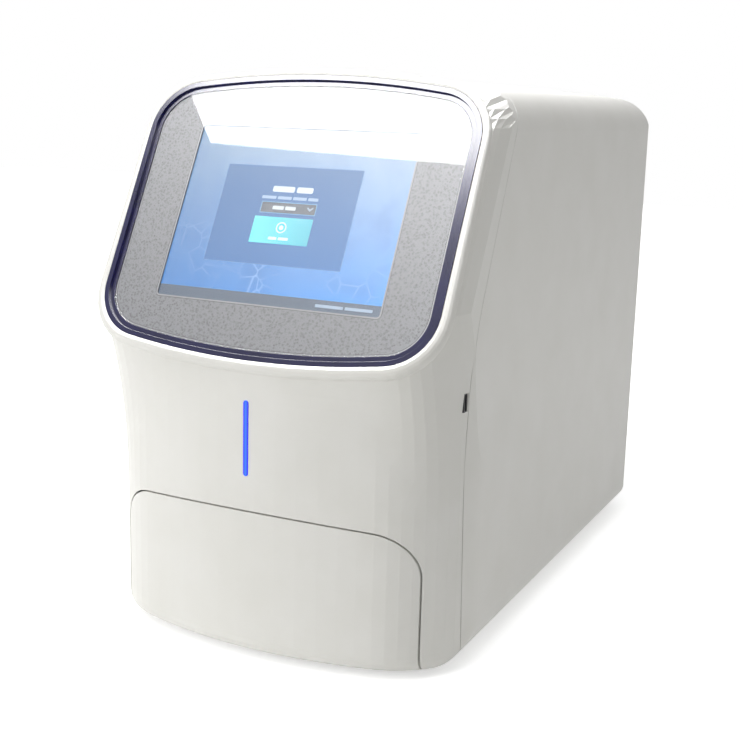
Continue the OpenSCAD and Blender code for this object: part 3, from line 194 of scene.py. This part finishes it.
# %% [markdown]
# ## Metals
# Sheet that was rolled and brushed keeps long scratches along one axis. Zinc plate is duller and
# slightly yellow, anodised aluminium is coloured through its oxide, and turned brass has the
# strongest colour of them all. Each pattern scale is the real grain in millimetres.

# %% Metals
# zinc spangle: cloudy patches on a cool grey mirror
F["frame_sheet"] = grained("zinc_plated_steel_sheet", "#a4a7a6", "#b9bbb7", 18, 0.8, 0.01, (0.35, 0.5),
                           Metallic=1.0)
# fine lines across the tray stretch its reflections
F["tray_sheet"] = grained("brushed_stainless_sheet", "#a9acae", "#b8babb", 20, 0.6, 0.008, (0.24, 0.38),
                          (0.03, 1, 1), Metallic=1.0)
# drawn steel: lines along the travel
F["slide_steel"] = grained("cold_rolled_zinc_slide", "#a6a9ab", "#bdbfc0", 20, 0.7, 0.008, (0.25, 0.4),
                           (1, 0.04, 1), Metallic=1.0)
# bright plate: small hard glints
F["fastener"] = grained("bright_zinc_screw", "#b3b5b7", "#c6c8ca", 5, 0.4, 0.01, (0.2, 0.32),
                        Metallic=1.0)
# a lathe tool leaves fine rings
F["machined"] = grained("turned_aluminium", "#b6b8ba", "#c5c7c9", 15, 0.5, 0.006, (0.22, 0.34),
                        (1, 1, 0.06), Metallic=1.0)
# die lines run along the fins
F["sink"] = grained("extruded_aluminium", "#a2a5a8", "#b2b5b7", 15, 0.5, 0.008, (0.3, 0.42),
                    (1, 0.05, 1), Metallic=1.0)
# mill finish with rolling lines
F["supply_case"] = grained("pressed_aluminium_case", "#a5a8aa", "#b4b7b8", 22, 0.6, 0.008, (0.3, 0.45),
                           (1, 0.05, 1), Metallic=1.0)
# polished nickel: the brightest metal here
F["wire"] = grained("bright_nickel_wire", "#bfc1c3", "#cfd1d2", 6, 0.4, 0.005, (0.14, 0.24),
                    Metallic=1.0)
F["socket_shell"] = grained("nickel_plated_shell", "#a5a8a9", "#babcbd", 6, 0.4, 0.006, (0.2, 0.32),
                            Metallic=1.0)
# hobbed brass: warm and bright on the tooth flanks
F["gear_brass"] = grained("machined_brass", "#b8913f", "#c9a452", 6, 0.3, 0.006, (0.2, 0.32),
                          Metallic=1.0)
# oxide keeps a metal sheen under black
F["motor_can"] = grained("black_oxide_motor_can", "#2b2d30", "#383b3e", 10, 0.4, 0.01, (0.3, 0.45),
                         Metallic=0.8)
# dyed oxide: near black, silky
F["camera_body"] = grained("black_anodised_aluminium", "#1d1f21", "#27292c", 12, 0.4, 0.01, (0.32, 0.45),
                           Metallic=0.7)
F["lens_black"] = grained("black_anodised_barrel", "#121314", "#1b1c1e", 10, 0.3, 0.008, (0.28, 0.4),
                          Metallic=0.6)
F["wheel_black"] = grained("black_anodised_wheel", "#1c1e20", "#26282b", 12, 0.4, 0.01, (0.3, 0.42),
                           Metallic=0.7)
print("with metals", len(F))

# %% [markdown]
# ## Inner plastics and paint
# Acetal gears are a milky white that lets a little light in. The dark chamber is painted flat black
# so that no stray light reaches the camera, and its seal is an open foam full of small pores.

# %% Inner plastics
# milky: light bleeds into thin teeth
F["rack_plastic"] = grained("natural_acetal_rack", "#d8d4c6", "#e2dfd2", 10, 0.4, 0.01, (0.3, 0.42),
                            Subsurface_Weight=0.1)
F["pinion_plastic"] = grained("natural_acetal_gear", "#d6d2c4", "#e0dccf", 10, 0.4, 0.01, (0.3, 0.42),
                              Subsurface_Weight=0.1)
# textured mould: dark with a faint sheen
F["stage_black"] = grained("black_abs_stage_box", "#1b1c1e", "#252628", 20, 0.5, 0.03, (0.45, 0.6))
# chalky paint: almost no reflection at any angle
F["chamber_black"] = grained("flat_black_painted_sheet", "#0f1010", "#171818", 25, 0.5, 0.03,
                             (0.75, 0.9))
# pores of about a millimetre swallow light
F["foam"] = grained("black_cellular_foam", "#0f0f10", "#1d1d1e", 2, 0.9, 0.3, (0.85, 1.0))
# opal sheet glows softly through its body
F["diffuser"] = grained("opal_acrylic_sheet", "#eceeef", "#f4f5f5", 30, 0.6, 0.004, (0.2, 0.3),
                        Subsurface_Weight=0.3)

# %% [markdown]
# ## Circuit boards
# Copper tracks lie under the lacquer and lift it slightly. Square Voronoi cells give a maze of
# straight lines that reads as tracks, drawn some millimetres apart, coarser than real ones, so
# that they show at all.

# %% Circuit boards
def circuit(name, dark, light, track_mm):
    """Lacquered board whose tracks show through as paler, raised lines."""
    material, tree, shader = new_finish(name, Coat_Weight=0.4, Coat_Roughness=0.15, Roughness=0.4)
    tracks = add(tree, "ShaderNodeTexVoronoi", {"distance": "CHEBYCHEV", "feature": "DISTANCE_TO_EDGE",
                                                "Scale": PER_METRE / track_mm}, {"Vector": place(tree)})
    tree.links.new(shades(tree, tracks.outputs["Distance"], light, dark, 0.02, 0.1),
                   shader.inputs["Base Color"])
    bump = add(tree, "ShaderNodeBump", {"Strength": 0.6, "Distance": 0.05 * MM, "invert": True},
               {"Height": tracks.outputs["Distance"]})
    tree.links.new(bump.outputs[0], shader.inputs["Normal"])
    return material

# glossy lacquer over copper
F["circuit"] = circuit("green_lacquered_board", "#0f4a30", "#1d6b45", 6)
# white lacquer throws the lamps' light forward
F["lamp_board"] = circuit("white_lacquered_lamp_board", "#dfe2dc", "#c9cdc6", 9)

# %% [markdown]
# ## Glass
# Clear sheet is a mirror layer over nothing: the mirror is faint straight on and grows steeply
# towards grazing angles, and the rest lets light straight through. Schlick's fifth power gives that
# share the same way on both faces of the sheet, so the back never turns into a full mirror.

# %% Glass
def clear_glass(name, tint, straight_on, body):
    """Thin clear sheet: the mirror's share grows towards grazing angles, and the body adds its own."""
    material, tree, shader = new_finish(name, Base_Color=linear(tint), Metallic=1.0, Roughness=0.015)
    slant = add(tree, "ShaderNodeLayerWeight", {"Blend": 0.5})
    fifth = add(tree, "ShaderNodeMath", {"operation": "POWER", 1: 5.0}, {0: slant.outputs["Facing"]})
    cover = add(tree, "ShaderNodeMath", {"operation": "MULTIPLY_ADD", "use_clamp": True,
                                         1: 1 - straight_on, 2: straight_on + body},
                {0: fifth.outputs[0]})
    tree.links.new(cover.outputs[0], shader.inputs["Alpha"])
    return material

# strengthened cover sheet: polished, colourless, with a coating that weakens its mirror
F["cover_glass"] = clear_glass("strengthened_cover_glass", "#ffffff", 0.012, 0.0)
# the sample plate has a faint cool tint in its body
F["sample_plate"] = clear_glass("polished_sample_glass", "#e8f0f4", 0.04, 0.03)
# interference coating: a strong coloured mirror
F["filter_glass"] = clear_glass("coated_filter_glass", "#c0484a", 0.096, 0.5)

# %% [markdown]
# ## Screen print
# The border round the screen is printed on the back of the glass: a mid grey with small darker
# specks about three millimetres apart, like leather grain. The print itself is flat, so the specks
# are colour and not relief. Voronoi gives specks that are evenly spread but never in rows.

# %% Screen print
SPECK_MM, SPECK_BLUR_MM = 2.7, 1.6

def speckled_print(name):
    """Grey print with soft darker specks and paler ground between them."""
    material, tree, shader = new_finish(name, Roughness=0.55)
    where = place(tree)
    specks = add(tree, "ShaderNodeTexVoronoi", {"Scale": PER_METRE / SPECK_MM}, {"Vector": where})
    cloud = noise(tree, where, SPECK_BLUR_MM, 2.0)
    both = add(tree, "ShaderNodeMath", {"operation": "MULTIPLY_ADD", 1: 0.45},
               {0: cloud, 2: specks.outputs["Distance"]})
    tree.links.new(shades(tree, both.outputs[0], "#4c4d51", "#6d6e72", 0.42, 0.78),
                   shader.inputs["Base Color"])
    return material

F["bezel"] = speckled_print("speckled_grey_screen_print")
# thin solid lines, a pale one and a dark one: the dark one and the pale one round the window are of the
# same print, and the pale one along the glass's edge is a painted highlight of its polished edge
pale_line = grained("pale_grey_print_and_painted_edge_highlight", "#86878a", "#909195", 20, 0.5, 0.0, (0.4, 0.5))
dark_line = grained("dark_grey_printed_line", "#2b2c30", "#323337", 20, 0.5, 0.0, (0.4, 0.5))

# %% [markdown]
# ## Lit surfaces
# A liquid crystal cell is a black sheet that gives its own light, so its colour goes in the
# emission and its base is nearly black. The picture fades from a greyed blue at the top to a clear
# bright blue at the bottom, with faint cells drawn over its lower part. Its coordinates are the
# object's own, so the picture stays on the sheet from any side.

# %% Lit surfaces
DISPLAY_TILT = math.radians(26.8)
DISPLAY_AT = Vector((0, -0.252, 0.410))
SCREEN_MM = (232, 174)
NET_MM, VEIL_MM = 17, 45    # sizes of the drawn cells and of the soft patches over them

def lit_colour(name, colour, alpha=1.0):
    """A flat coloured patch of light, as a lit pixel area."""
    return new_finish(name, Base_Color=linear("#050608"), Roughness=0.5, Alpha=alpha,
                      Emission_Color=linear(colour), Emission_Strength=1.0)[0]

def blend_between(tree, factor, low, high):
    """Mixes two colours, given as hex text or as another node's output."""
    mix = add(tree, "ShaderNodeMix", {"data_type": "RGBA"}, {0: factor})
    for socket, colour in ((6, low), (7, high)):
        if isinstance(colour, str):
            mix.inputs[socket].default_value = linear(colour)
        else:
            tree.links.new(colour, mix.inputs[socket])
    return mix.outputs[2]

def times(tree, first, second):
    """Product of a node's output and a number or another output."""
    if isinstance(second, (int, float)):
        return add(tree, "ShaderNodeMath", {"operation": "MULTIPLY", 1: second}, {0: first}).outputs[0]
    return add(tree, "ShaderNodeMath", {"operation": "MULTIPLY"}, {0: first, 1: second}).outputs[0]

def screen_picture(name):
    """The picture's ground: a vertical and a sideways fade with soft cells and veils."""
    material, tree, shader = new_finish(name, Base_Color=linear("#040608"), Roughness=0.45,
                                        Emission_Strength=1.0)
    where = add(tree, "ShaderNodeTexCoord").outputs["Object"]
    split = add(tree, "ShaderNodeSeparateXYZ", links={"Vector": where})
    half_w = SCREEN_MM[0] / 2 * MM
    half_h = SCREEN_MM[1] / 2 * MM * math.cos(DISPLAY_TILT)
    fall = spread(tree, split.outputs["Z"], DISPLAY_AT.z + half_h, DISPLAY_AT.z - half_h)
    across = spread(tree, split.outputs["X"], -half_w, half_w)
    top = blend_between(tree, across, "#5f86a8", "#8aa3bd")
    foot = blend_between(tree, across, "#1c77c4", "#2f97ef")
    ground = blend_between(tree, fall, top, foot)
    cells = add(tree, "ShaderNodeTexVoronoi",
                {"feature": "DISTANCE_TO_EDGE", "Scale": PER_METRE / NET_MM}, {"Vector": where})
    line = spread(tree, cells.outputs["Distance"], 0.0, 0.05, 0.55, 0.0)
    veil = spread(tree, noise(tree, where, VEIL_MM, 4.0), 0.42, 0.68)
    share = times(tree, times(tree, line, veil), spread(tree, fall, 0.5, 0.9))
    shaded = blend_between(tree, times(tree, veil, 0.28), ground, "#0f5fa8")
    tree.links.new(blend_between(tree, share, shaded, "#9fd0ff"), shader.inputs["Emission Color"])
    return material

F["screen"] = screen_picture("lit_liquid_crystal_cell")

# %% [markdown]
# ## Light bar
# The status bar is a strip of clear blue acrylic with diodes behind it. It is brightest along its
# middle and a deep blue at its edges, because the light leaves the strip mostly straight ahead.

# %% Light bar
BAR_CORE_MM, BAR_EDGE_MM = 0.4, 2.2     # distances from the middle line

def light_bar_finish(name):
    """Blue light that falls off from the strip's middle line, which is at X = 0."""
    material, tree, shader = new_finish(name, Base_Color=linear("#0a12a0"), Roughness=0.25,
                                        Emission_Strength=1.0)
    split = add(tree, "ShaderNodeSeparateXYZ",
                links={"Vector": add(tree, "ShaderNodeTexCoord").outputs["Object"]})
    away = add(tree, "ShaderNodeMath", {"operation": "ABSOLUTE"}, {0: split.outputs["X"]})
    tone = spread(tree, away.outputs[0], BAR_CORE_MM * MM, BAR_EDGE_MM * MM)
    tree.links.new(blend_between(tree, tone, "#1070ff", "#0010d0"), shader.inputs["Emission Color"])
    return material

F["light_bar"] = light_bar_finish("lit_blue_acrylic_strip")
print("finishes", len(F))

# %% [markdown]
# ## Dress the model's own nodes
# Each node takes the finish of the slot that its record names. A mechanical mesh is often shaded
# smooth across its corners, which smears light over flat faces. Splitting the edges that turn by
# more than 30 degrees keeps corners crisp, and normals weighted by face area then keep flat faces
# flat right up to the small rounds beside them.

# %% Dress the nodes
CORNER = math.radians(30)
FLAT_WEIGHT = 70            # over 50, large faces outweigh the small rounds beside them

for part in frame["record"]["subparts"]:
    node = NODES[part["node"]]
    for slot in node.material_slots:
        slot.material = F[part["material_slot"]]
    crisp = node.modifiers.new("crisp_corners", "EDGE_SPLIT")
    crisp.split_angle = CORNER
    flat = node.modifiers.new("flat_faces", "WEIGHTED_NORMAL")
    flat.mode, flat.weight = "FACE_AREA", FLAT_WEIGHT
print("dressed", len(NODES))

# %% [markdown]
# ## Working on the tilted display
# The glass, the print and the picture all lie parallel to the tilted display. It is easier to draw
# them flat, with X across, Y up the face and N out of it, and to turn them into place with one
# function. The outline of the display is four corner arcs joined by two shallow arches and two
# straight sides, and the same function grows or shrinks it.

# %% Display outline
RING_MM = (348, 281)
RING_CORNER, RING_ARCH = 50, 850
ARCH_Y = RING_MM[1] / 2 - RING_ARCH
CORNER_X = RING_MM[0] / 2 - RING_CORNER
CORNER_Y = ARCH_Y + math.sqrt((RING_ARCH - RING_CORNER) ** 2 - CORNER_X ** 2)

def on_display(x, y, n):
    """From millimetres on the tilted display to metres in the room."""
    return DISPLAY_AT + MM * Vector((x, y * math.sin(DISPLAY_TILT) - n * math.cos(DISPLAY_TILT),
                                     y * math.cos(DISPLAY_TILT) + n * math.sin(DISPLAY_TILT)))

def display_outline(grow, corner_steps=14, arch_steps=12):
    """Points round the display, anticlockwise from the right, grown by millimetres."""
    turn = math.atan2(CORNER_Y - ARCH_Y, CORNER_X)
    quarter = []
    for i in range(corner_steps + 1):
        a = turn * i / corner_steps
        quarter.append((CORNER_X + (RING_CORNER + grow) * math.cos(a),
                        CORNER_Y + (RING_CORNER + grow) * math.sin(a)))
    for i in range(1, arch_steps + 1):
        a = turn + (math.pi / 2 - turn) * i / arch_steps
        quarter.append(((RING_ARCH + grow) * math.cos(a), ARCH_Y + (RING_ARCH + grow) * math.sin(a)))
    upper = quarter + [(-x, y) for x, y in quarter[-2::-1]]
    return upper + [(-x, -y) for x, y in upper]

def rounded_box(w, h, r, at=(0, 0), steps=5):
    """Points round a rectangle with rounded corners."""
    points = []
    for k, (sx, sy) in enumerate(((1, 1), (-1, 1), (-1, -1), (1, -1))):
        for i in range(steps + 1):
            a = math.pi / 2 * (k + i / steps)
            points.append((at[0] + sx * (w / 2 - r) + r * math.cos(a),
                           at[1] + sy * (h / 2 - r) + r * math.sin(a)))
    return points

# %% [markdown]
# ## Building sheets
# A loft joins rings of points that all have the same count. With a face over its first and last
# ring it is a solid sheet with a shaped edge, and closed on itself it is a frame, such as a printed
# line. Both are made in mesh code, so each corner can be as round as the real one.

# %% Building sheets
def loft(name, rings, finish, closed=False):
    """A solid through rings of (x, y, n) points on the display; closed makes a frame instead."""
    shape = bmesh.new()
    loops = [[shape.verts.new(on_display(*p)) for p in ring] for ring in rings]
    pairs = list(zip(loops, loops[1:]))
    if closed:
        pairs.append((loops[-1], loops[0]))
    else:
        shape.faces.new(loops[0][::-1])
        shape.faces.new(loops[-1])
    for a, b in pairs:
        for i in range(len(a)):
            j = (i + 1) % len(a)
            shape.faces.new((a[i], a[j], b[j], b[i]))
    bmesh.ops.recalc_face_normals(shape, faces=shape.faces)
    for face in shape.faces:
        face.smooth = len(face.verts) == 4
    mesh = bpy.data.meshes.new(name)
    shape.to_mesh(mesh)
    shape.free()
    mesh.set_sharp_from_angle(angle=CORNER)
    mesh.materials.append(finish)
    piece = bpy.data.objects.new(name, mesh)
    bpy.context.scene.collection.objects.link(piece)
    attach(piece, "casing")
    return piece

def level_ring(points, n):
    """An outline at one height over the display."""
    return [(x, y, n) for x, y in points]

def patch(name, outline, low, high, finish):
    """A thin solid sheet between two heights."""
    return loft(name, [level_ring(outline, low), level_ring(outline, high)], finish)

def frame_line(name, outer, inner, low, high, finish):
    """A thin closed frame between two outlines of the same count."""
    return loft(name, [level_ring(outer, low), level_ring(outer, high), level_ring(inner, high),
                       level_ring(inner, low)], finish, closed=True)

# %% [markdown]
# ## Cover glass
# The sheet is three millimetres thick with a ground and polished edge. The grinder leaves a round
# on the front and a small flat on the back, which show as a thin bright line all the way round.

# %% Cover glass
GLASS_INSET = 10.3          # ring band and its clearance
GLASS_BACK, GLASS_FRONT = -2.45, 0.5

edge_profile = [(-0.9, GLASS_BACK), (-0.5, GLASS_BACK), (0, GLASS_BACK + 0.5), (0, 0.0), (-0.12, 0.3),
                (-0.5, GLASS_FRONT), (-0.9, GLASS_FRONT)]
glass = loft("cover_glass_sheet",
             [level_ring(display_outline(g - GLASS_INSET), n) for g, n in edge_profile],
             F["cover_glass"])
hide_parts("display_glass")
print("glass points", len(glass.data.vertices))

# %% [markdown]
# ## Printed lines and a painted edge highlight
# A pale line follows the edge of the glass: it is a painted highlight where the polished edge of the
# glass is seen. Another pale line frames the window, and each has a thin dark line beside it. All lie
# between the print and the glass, and the window's lines and the dark lines are printed over the specks.

# %% Printed lines and painted edge highlight
LINE_LOW, LINE_HIGH = -2.495, -2.475
WINDOW_CORNER = 3           # radius of the window's corners

def edge_line(name, near, far, finish):
    """A line along the display's edge, between two distances from the glass's edge; the pale one is a
    painted highlight of the polished edge.
    """
    frame_line(name, display_outline(-GLASS_INSET - near), display_outline(-GLASS_INSET - far),
               LINE_LOW, LINE_HIGH, finish)

def window_line(name, near, far, finish):
    """A printed line round the window, between two distances from the screen."""
    outer, inner = (rounded_box(SCREEN_MM[0] + 2 * grow, SCREEN_MM[1] + 2 * grow, WINDOW_CORNER + grow)
                    for grow in (far, near))
    frame_line(name, outer, inner, LINE_LOW, LINE_HIGH, finish)

# painted highlight: a pale line where the glass's polished edge is seen catching light
edge_line("painted_highlight_at_glass_edge", 0.1, 1.3, pale_line)
edge_line("dark_line_at_glass_edge", 1.3, 1.9, dark_line)
window_line("pale_line_at_window", 0.05, 1.4, pale_line)
window_line("dark_line_at_window", 1.4, 2.0, dark_line)

# %% [markdown]
# ## Picture on the screen
# The picture is a plain start page: a pale panel, two bars where a heading would stand, a box with
# a list to choose from, a large button with a round sign, and a dark strip along the foot. Each is a
# thin sheet of light just over the cell, so edges stay sharp however close the view. The panel and
# the bars let some of the ground through, as a page drawn with transparency does.

# %% Page in layers
CELL = -4.0                 # front of the liquid crystal cell
LAYER = 0.04                # thickness of one sheet of the picture

def at_screen(u, v):
    """From shares of the screen's width and height, from its top left corner, to millimetres."""
    return ((u - 0.5) * SCREEN_MM[0], (0.5 - v) * SCREEN_MM[1])

def layer_low(layer):
    """Height of the underside of a layer of the page."""
    return CELL + (0.5 + 2 * layer) * LAYER

def page_box(name, u0, v0, u1, v1, layer, finish, r=0.6):
    """A rounded sheet of light between two corners, in a layer over the cell."""
    (x0, y0), (x1, y1) = at_screen(u0, v0), at_screen(u1, v1)
    low = layer_low(layer)
    outline = rounded_box(x1 - x0, y0 - y1, r, ((x0 + x1) / 2, (y0 + y1) / 2))
    return patch("page_" + name, outline, low, low + LAYER, finish)

def page_frame(name, u0, v0, u1, v1, layer, thick, finish, r=0.6):
    """A thin frame of light just inside two corners."""
    (x0, y0), (x1, y1) = at_screen(u0, v0), at_screen(u1, v1)
    low, centre = layer_low(layer), ((x0 + x1) / 2, (y0 + y1) / 2)
    return frame_line("page_" + name, rounded_box(x1 - x0, y0 - y1, r, centre),
                      rounded_box(x1 - x0 - 2 * thick, y0 - y1 - 2 * thick, r / 2, centre),
                      low, low + LAYER, finish)

panel_light = lit_colour("veiled_panel_light", "#5579ac", 0.38)
panel_rim = lit_colour("panel_rim_light", "#86b4ea", 0.3)
heading_light = lit_colour("heading_white_light", "#eaf6ff", 0.62)
small_light = lit_colour("small_heading_light", "#cfe4fb", 0.4)
box_light = lit_colour("list_box_slate_light", "#3b4654")
box_rim = lit_colour("list_box_rim_light", "#8fc6ee", 0.62)
strip_light = lit_colour("foot_strip_slate_light", "#384e66")

# %% Lay out the page
page_box("panel", 0.17, 0.22, 0.79, 0.78, 0, panel_light)
page_frame("panel_rim", 0.17, 0.22, 0.79, 0.78, 1, 0.5, panel_rim)
page_box("foot_strip", 0.0, 0.938, 1.0, 1.0, 0, strip_light, r=0.3)
page_box("heading_bar_left", 0.405, 0.335, 0.505, 0.368, 1, heading_light, r=1.5)
page_box("heading_bar_right", 0.515, 0.335, 0.588, 0.368, 1, heading_light, r=1.5)
for i, (u0, u1) in enumerate(((0.365, 0.43), (0.437, 0.50), (0.507, 0.568), (0.575, 0.62))):
    page_box(f"small_bar_{i + 1}", u0, 0.392, u1, 0.409, 1, small_light)
page_box("foot_bar_left", 0.72, 0.962, 0.84, 0.978, 1, small_light)
page_box("foot_bar_right", 0.848, 0.962, 0.965, 0.978, 1, small_light)
page_box("list_box", 0.37, 0.425, 0.622, 0.49, 1, box_light)
page_frame("list_box_rim", 0.37, 0.425, 0.622, 0.49, 2, 0.6, box_rim)
page_box("list_bar_left", 0.425, 0.448, 0.476, 0.468, 2, heading_light)
page_box("list_bar_right", 0.483, 0.448, 0.53, 0.468, 2, heading_light)

# %% [markdown]
# The button fades from a bright turquoise at its left to a deeper one at its right. Its sign is a
# plain ring with a dot, and a V beside the list shows that the box opens.

# %% Button and signs
def button_fade(name, bright, deep, from_mm, to_mm):
    """A sideways fade of light over the button."""
    material, tree, shader = new_finish(name, Base_Color=linear("#040608"), Roughness=0.5,
                                        Emission_Strength=1.0)
    split = add(tree, "ShaderNodeSeparateXYZ",
                links={"Vector": add(tree, "ShaderNodeTexCoord").outputs["Object"]})
    across = spread(tree, split.outputs["X"], from_mm * MM, to_mm * MM)
    tree.links.new(blend_between(tree, across, bright, deep), shader.inputs["Emission Color"])
    return material

button_light = button_fade("turquoise_button_light", "#52e2ec", "#30b7cd", -34, 30)
page_box("button", 0.355, 0.51, 0.62, 0.66, 1, button_light)
page_box("button_bar_left", 0.44, 0.622, 0.478, 0.638, 2, heading_light)
page_box("button_bar_right", 0.485, 0.622, 0.53, 0.638, 2, heading_light)

sign_at = at_screen(0.487, 0.568)
sign_low = layer_low(2)
frame_line("page_button_sign_ring", rounded_box(11, 11, 5.49, sign_at, 8),
           rounded_box(8.4, 8.4, 4.19, sign_at, 8), sign_low, sign_low + LAYER, heading_light)
patch("page_button_sign_dot", rounded_box(4.6, 4.6, 2.29, sign_at, 6), sign_low, sign_low + LAYER,
      heading_light)

arrow_x, arrow_y = at_screen(0.594, 0.458)
ARROW = [(-3.4, 1.6), (0, -1.9), (3.4, 1.6), (2.4, 2.4), (0, 0.2), (-2.4, 2.4)]
patch("page_list_arrow", [(arrow_x + x, arrow_y + y) for x, y in ARROW], sign_low, sign_low + LAYER,
      small_light)

# %% [markdown]
# ## Studio
# The world and the floor are white, and a wide softbox hangs overhead. That softbox is there twice:
# as a lamp for the light itself, and as a bright card that only reflections see, so its shape in
# the glass can be set without changing the light on the covers.

# %% World
scene = bpy.context.scene
scene.view_settings.view_transform = "Standard"
world = bpy.data.worlds.new("white_studio")
scene.world = world
world.use_nodes = True
sky = world.node_tree
sky.nodes.clear()

def seen_directly(tree):
    """1 where the camera, a mirror or clear glass looks at the surface, and 0 for lighting."""
    path = add(tree, "ShaderNodeLightPath")
    seen = add(tree, "ShaderNodeMath", {"operation": "ADD", "use_clamp": True},
               {0: path.outputs["Is Camera Ray"], 1: path.outputs["Is Glossy Ray"]})
    return add(tree, "ShaderNodeMath", {"operation": "ADD", "use_clamp": True},
               {0: seen.outputs[0], 1: path.outputs["Is Transmission Ray"]}).outputs[0]

AMBIENT = 0.30
sky_light = add(sky, "ShaderNodeBackground", {"Color": (1, 1, 1, 1)},
                {"Strength": spread(sky, seen_directly(sky), 0.0, 1.0, AMBIENT, 1.0)})
add(sky, "ShaderNodeOutputWorld", links={"Surface": sky_light.outputs[0]})

# %% [markdown]
# Three lamps shape the body: a softbox over it, a large one at the front left that makes that side
# the brightest, and a weak one on the right so that the long side stays a mid grey.

# %% Lamps
AIM = Vector((0, -0.1, 0.25))           # a point inside the object, behind the display

def lamp(name, at, size, watts):
    """A soft rectangular white lamp that faces the object."""
    light = bpy.data.lights.new(name, "AREA")
    light.shape = "RECTANGLE"
    light.size, light.size_y = size
    light.energy = watts
    holder = bpy.data.objects.new(name, light)
    holder.location = at
    holder.rotation_euler = (AIM - Vector(at)).to_track_quat("-Z", "Y").to_euler()
    scene.collection.objects.link(holder)
    holder.visible_glossy = False

lamp("overhead_softbox", (-0.3, -0.5, 1.7), (1.6, 1.5), 12)
lamp("front_left_softbox", (-1.9, -1.9, 0.9), (1.6, 1.2), 34)
lamp("right_fill", (2.6, -0.6, 1.0), (1.2, 1.4), 3)

# %% [markdown]
# The card is what the tilted glass mirrors. The floor is matt and takes the shadow; seen directly
# it also gives a little light of its own, which grows away from the object until the floor meets
# the white of the room without a horizon.

# %% Card and floor
def flat_sheet(name, corners, material):
    """One four-cornered sheet."""
    mesh = bpy.data.meshes.new(name)
    mesh.from_pydata(corners, [], [(0, 1, 2, 3)])
    sheet = bpy.data.objects.new(name, mesh)
    scene.collection.objects.link(sheet)
    mesh.materials.append(material)
    return sheet

CARD_Z = 1.7
CARD_STRENGTH = 28.0        # each face of the coated glass returns about a hundredth of this
FLOOR_REACH = 6
GLOW_FROM, GLOW_TO = 0.3, 1.2           # distances over which the floor's own light grows
GLOW_NEAR, GLOW_FAR = 0.5, 1.0
card_glow = new_finish("softbox_card", Base_Color=(0, 0, 0, 1), Emission_Color=(1, 1, 1, 1),
                       Emission_Strength=CARD_STRENGTH)[0]
card = flat_sheet("softbox_card", [(-1.166, -1.198, CARD_Z), (1.0, -1.29, CARD_Z), (1.0, 0.6, CARD_Z),
                                   (-1.14, 0.6, CARD_Z)], card_glow)
card.visible_camera = card.visible_diffuse = card.visible_shadow = False

floor_paint, floor_tree, floor_shader = new_finish("white_studio_floor", Base_Color=linear("#f4f4f4"),
                                                   Roughness=0.9, Emission_Color=(1, 1, 1, 1))
away = add(floor_tree, "ShaderNodeVectorMath", {"operation": "LENGTH"},
           {0: add(floor_tree, "ShaderNodeTexCoord").outputs["Object"]})
sweep = spread(floor_tree, away.outputs["Value"], GLOW_FROM, GLOW_TO, GLOW_NEAR, GLOW_FAR)
floor_tree.links.new(times(floor_tree, sweep, seen_directly(floor_tree)),
                     floor_shader.inputs["Emission Strength"])
floor = flat_sheet("studio_floor", [(x * FLOOR_REACH, y * FLOOR_REACH, 0)
                                    for x, y in ((-1, -1), (1, -1), (1, 1), (-1, 1))], floor_paint)
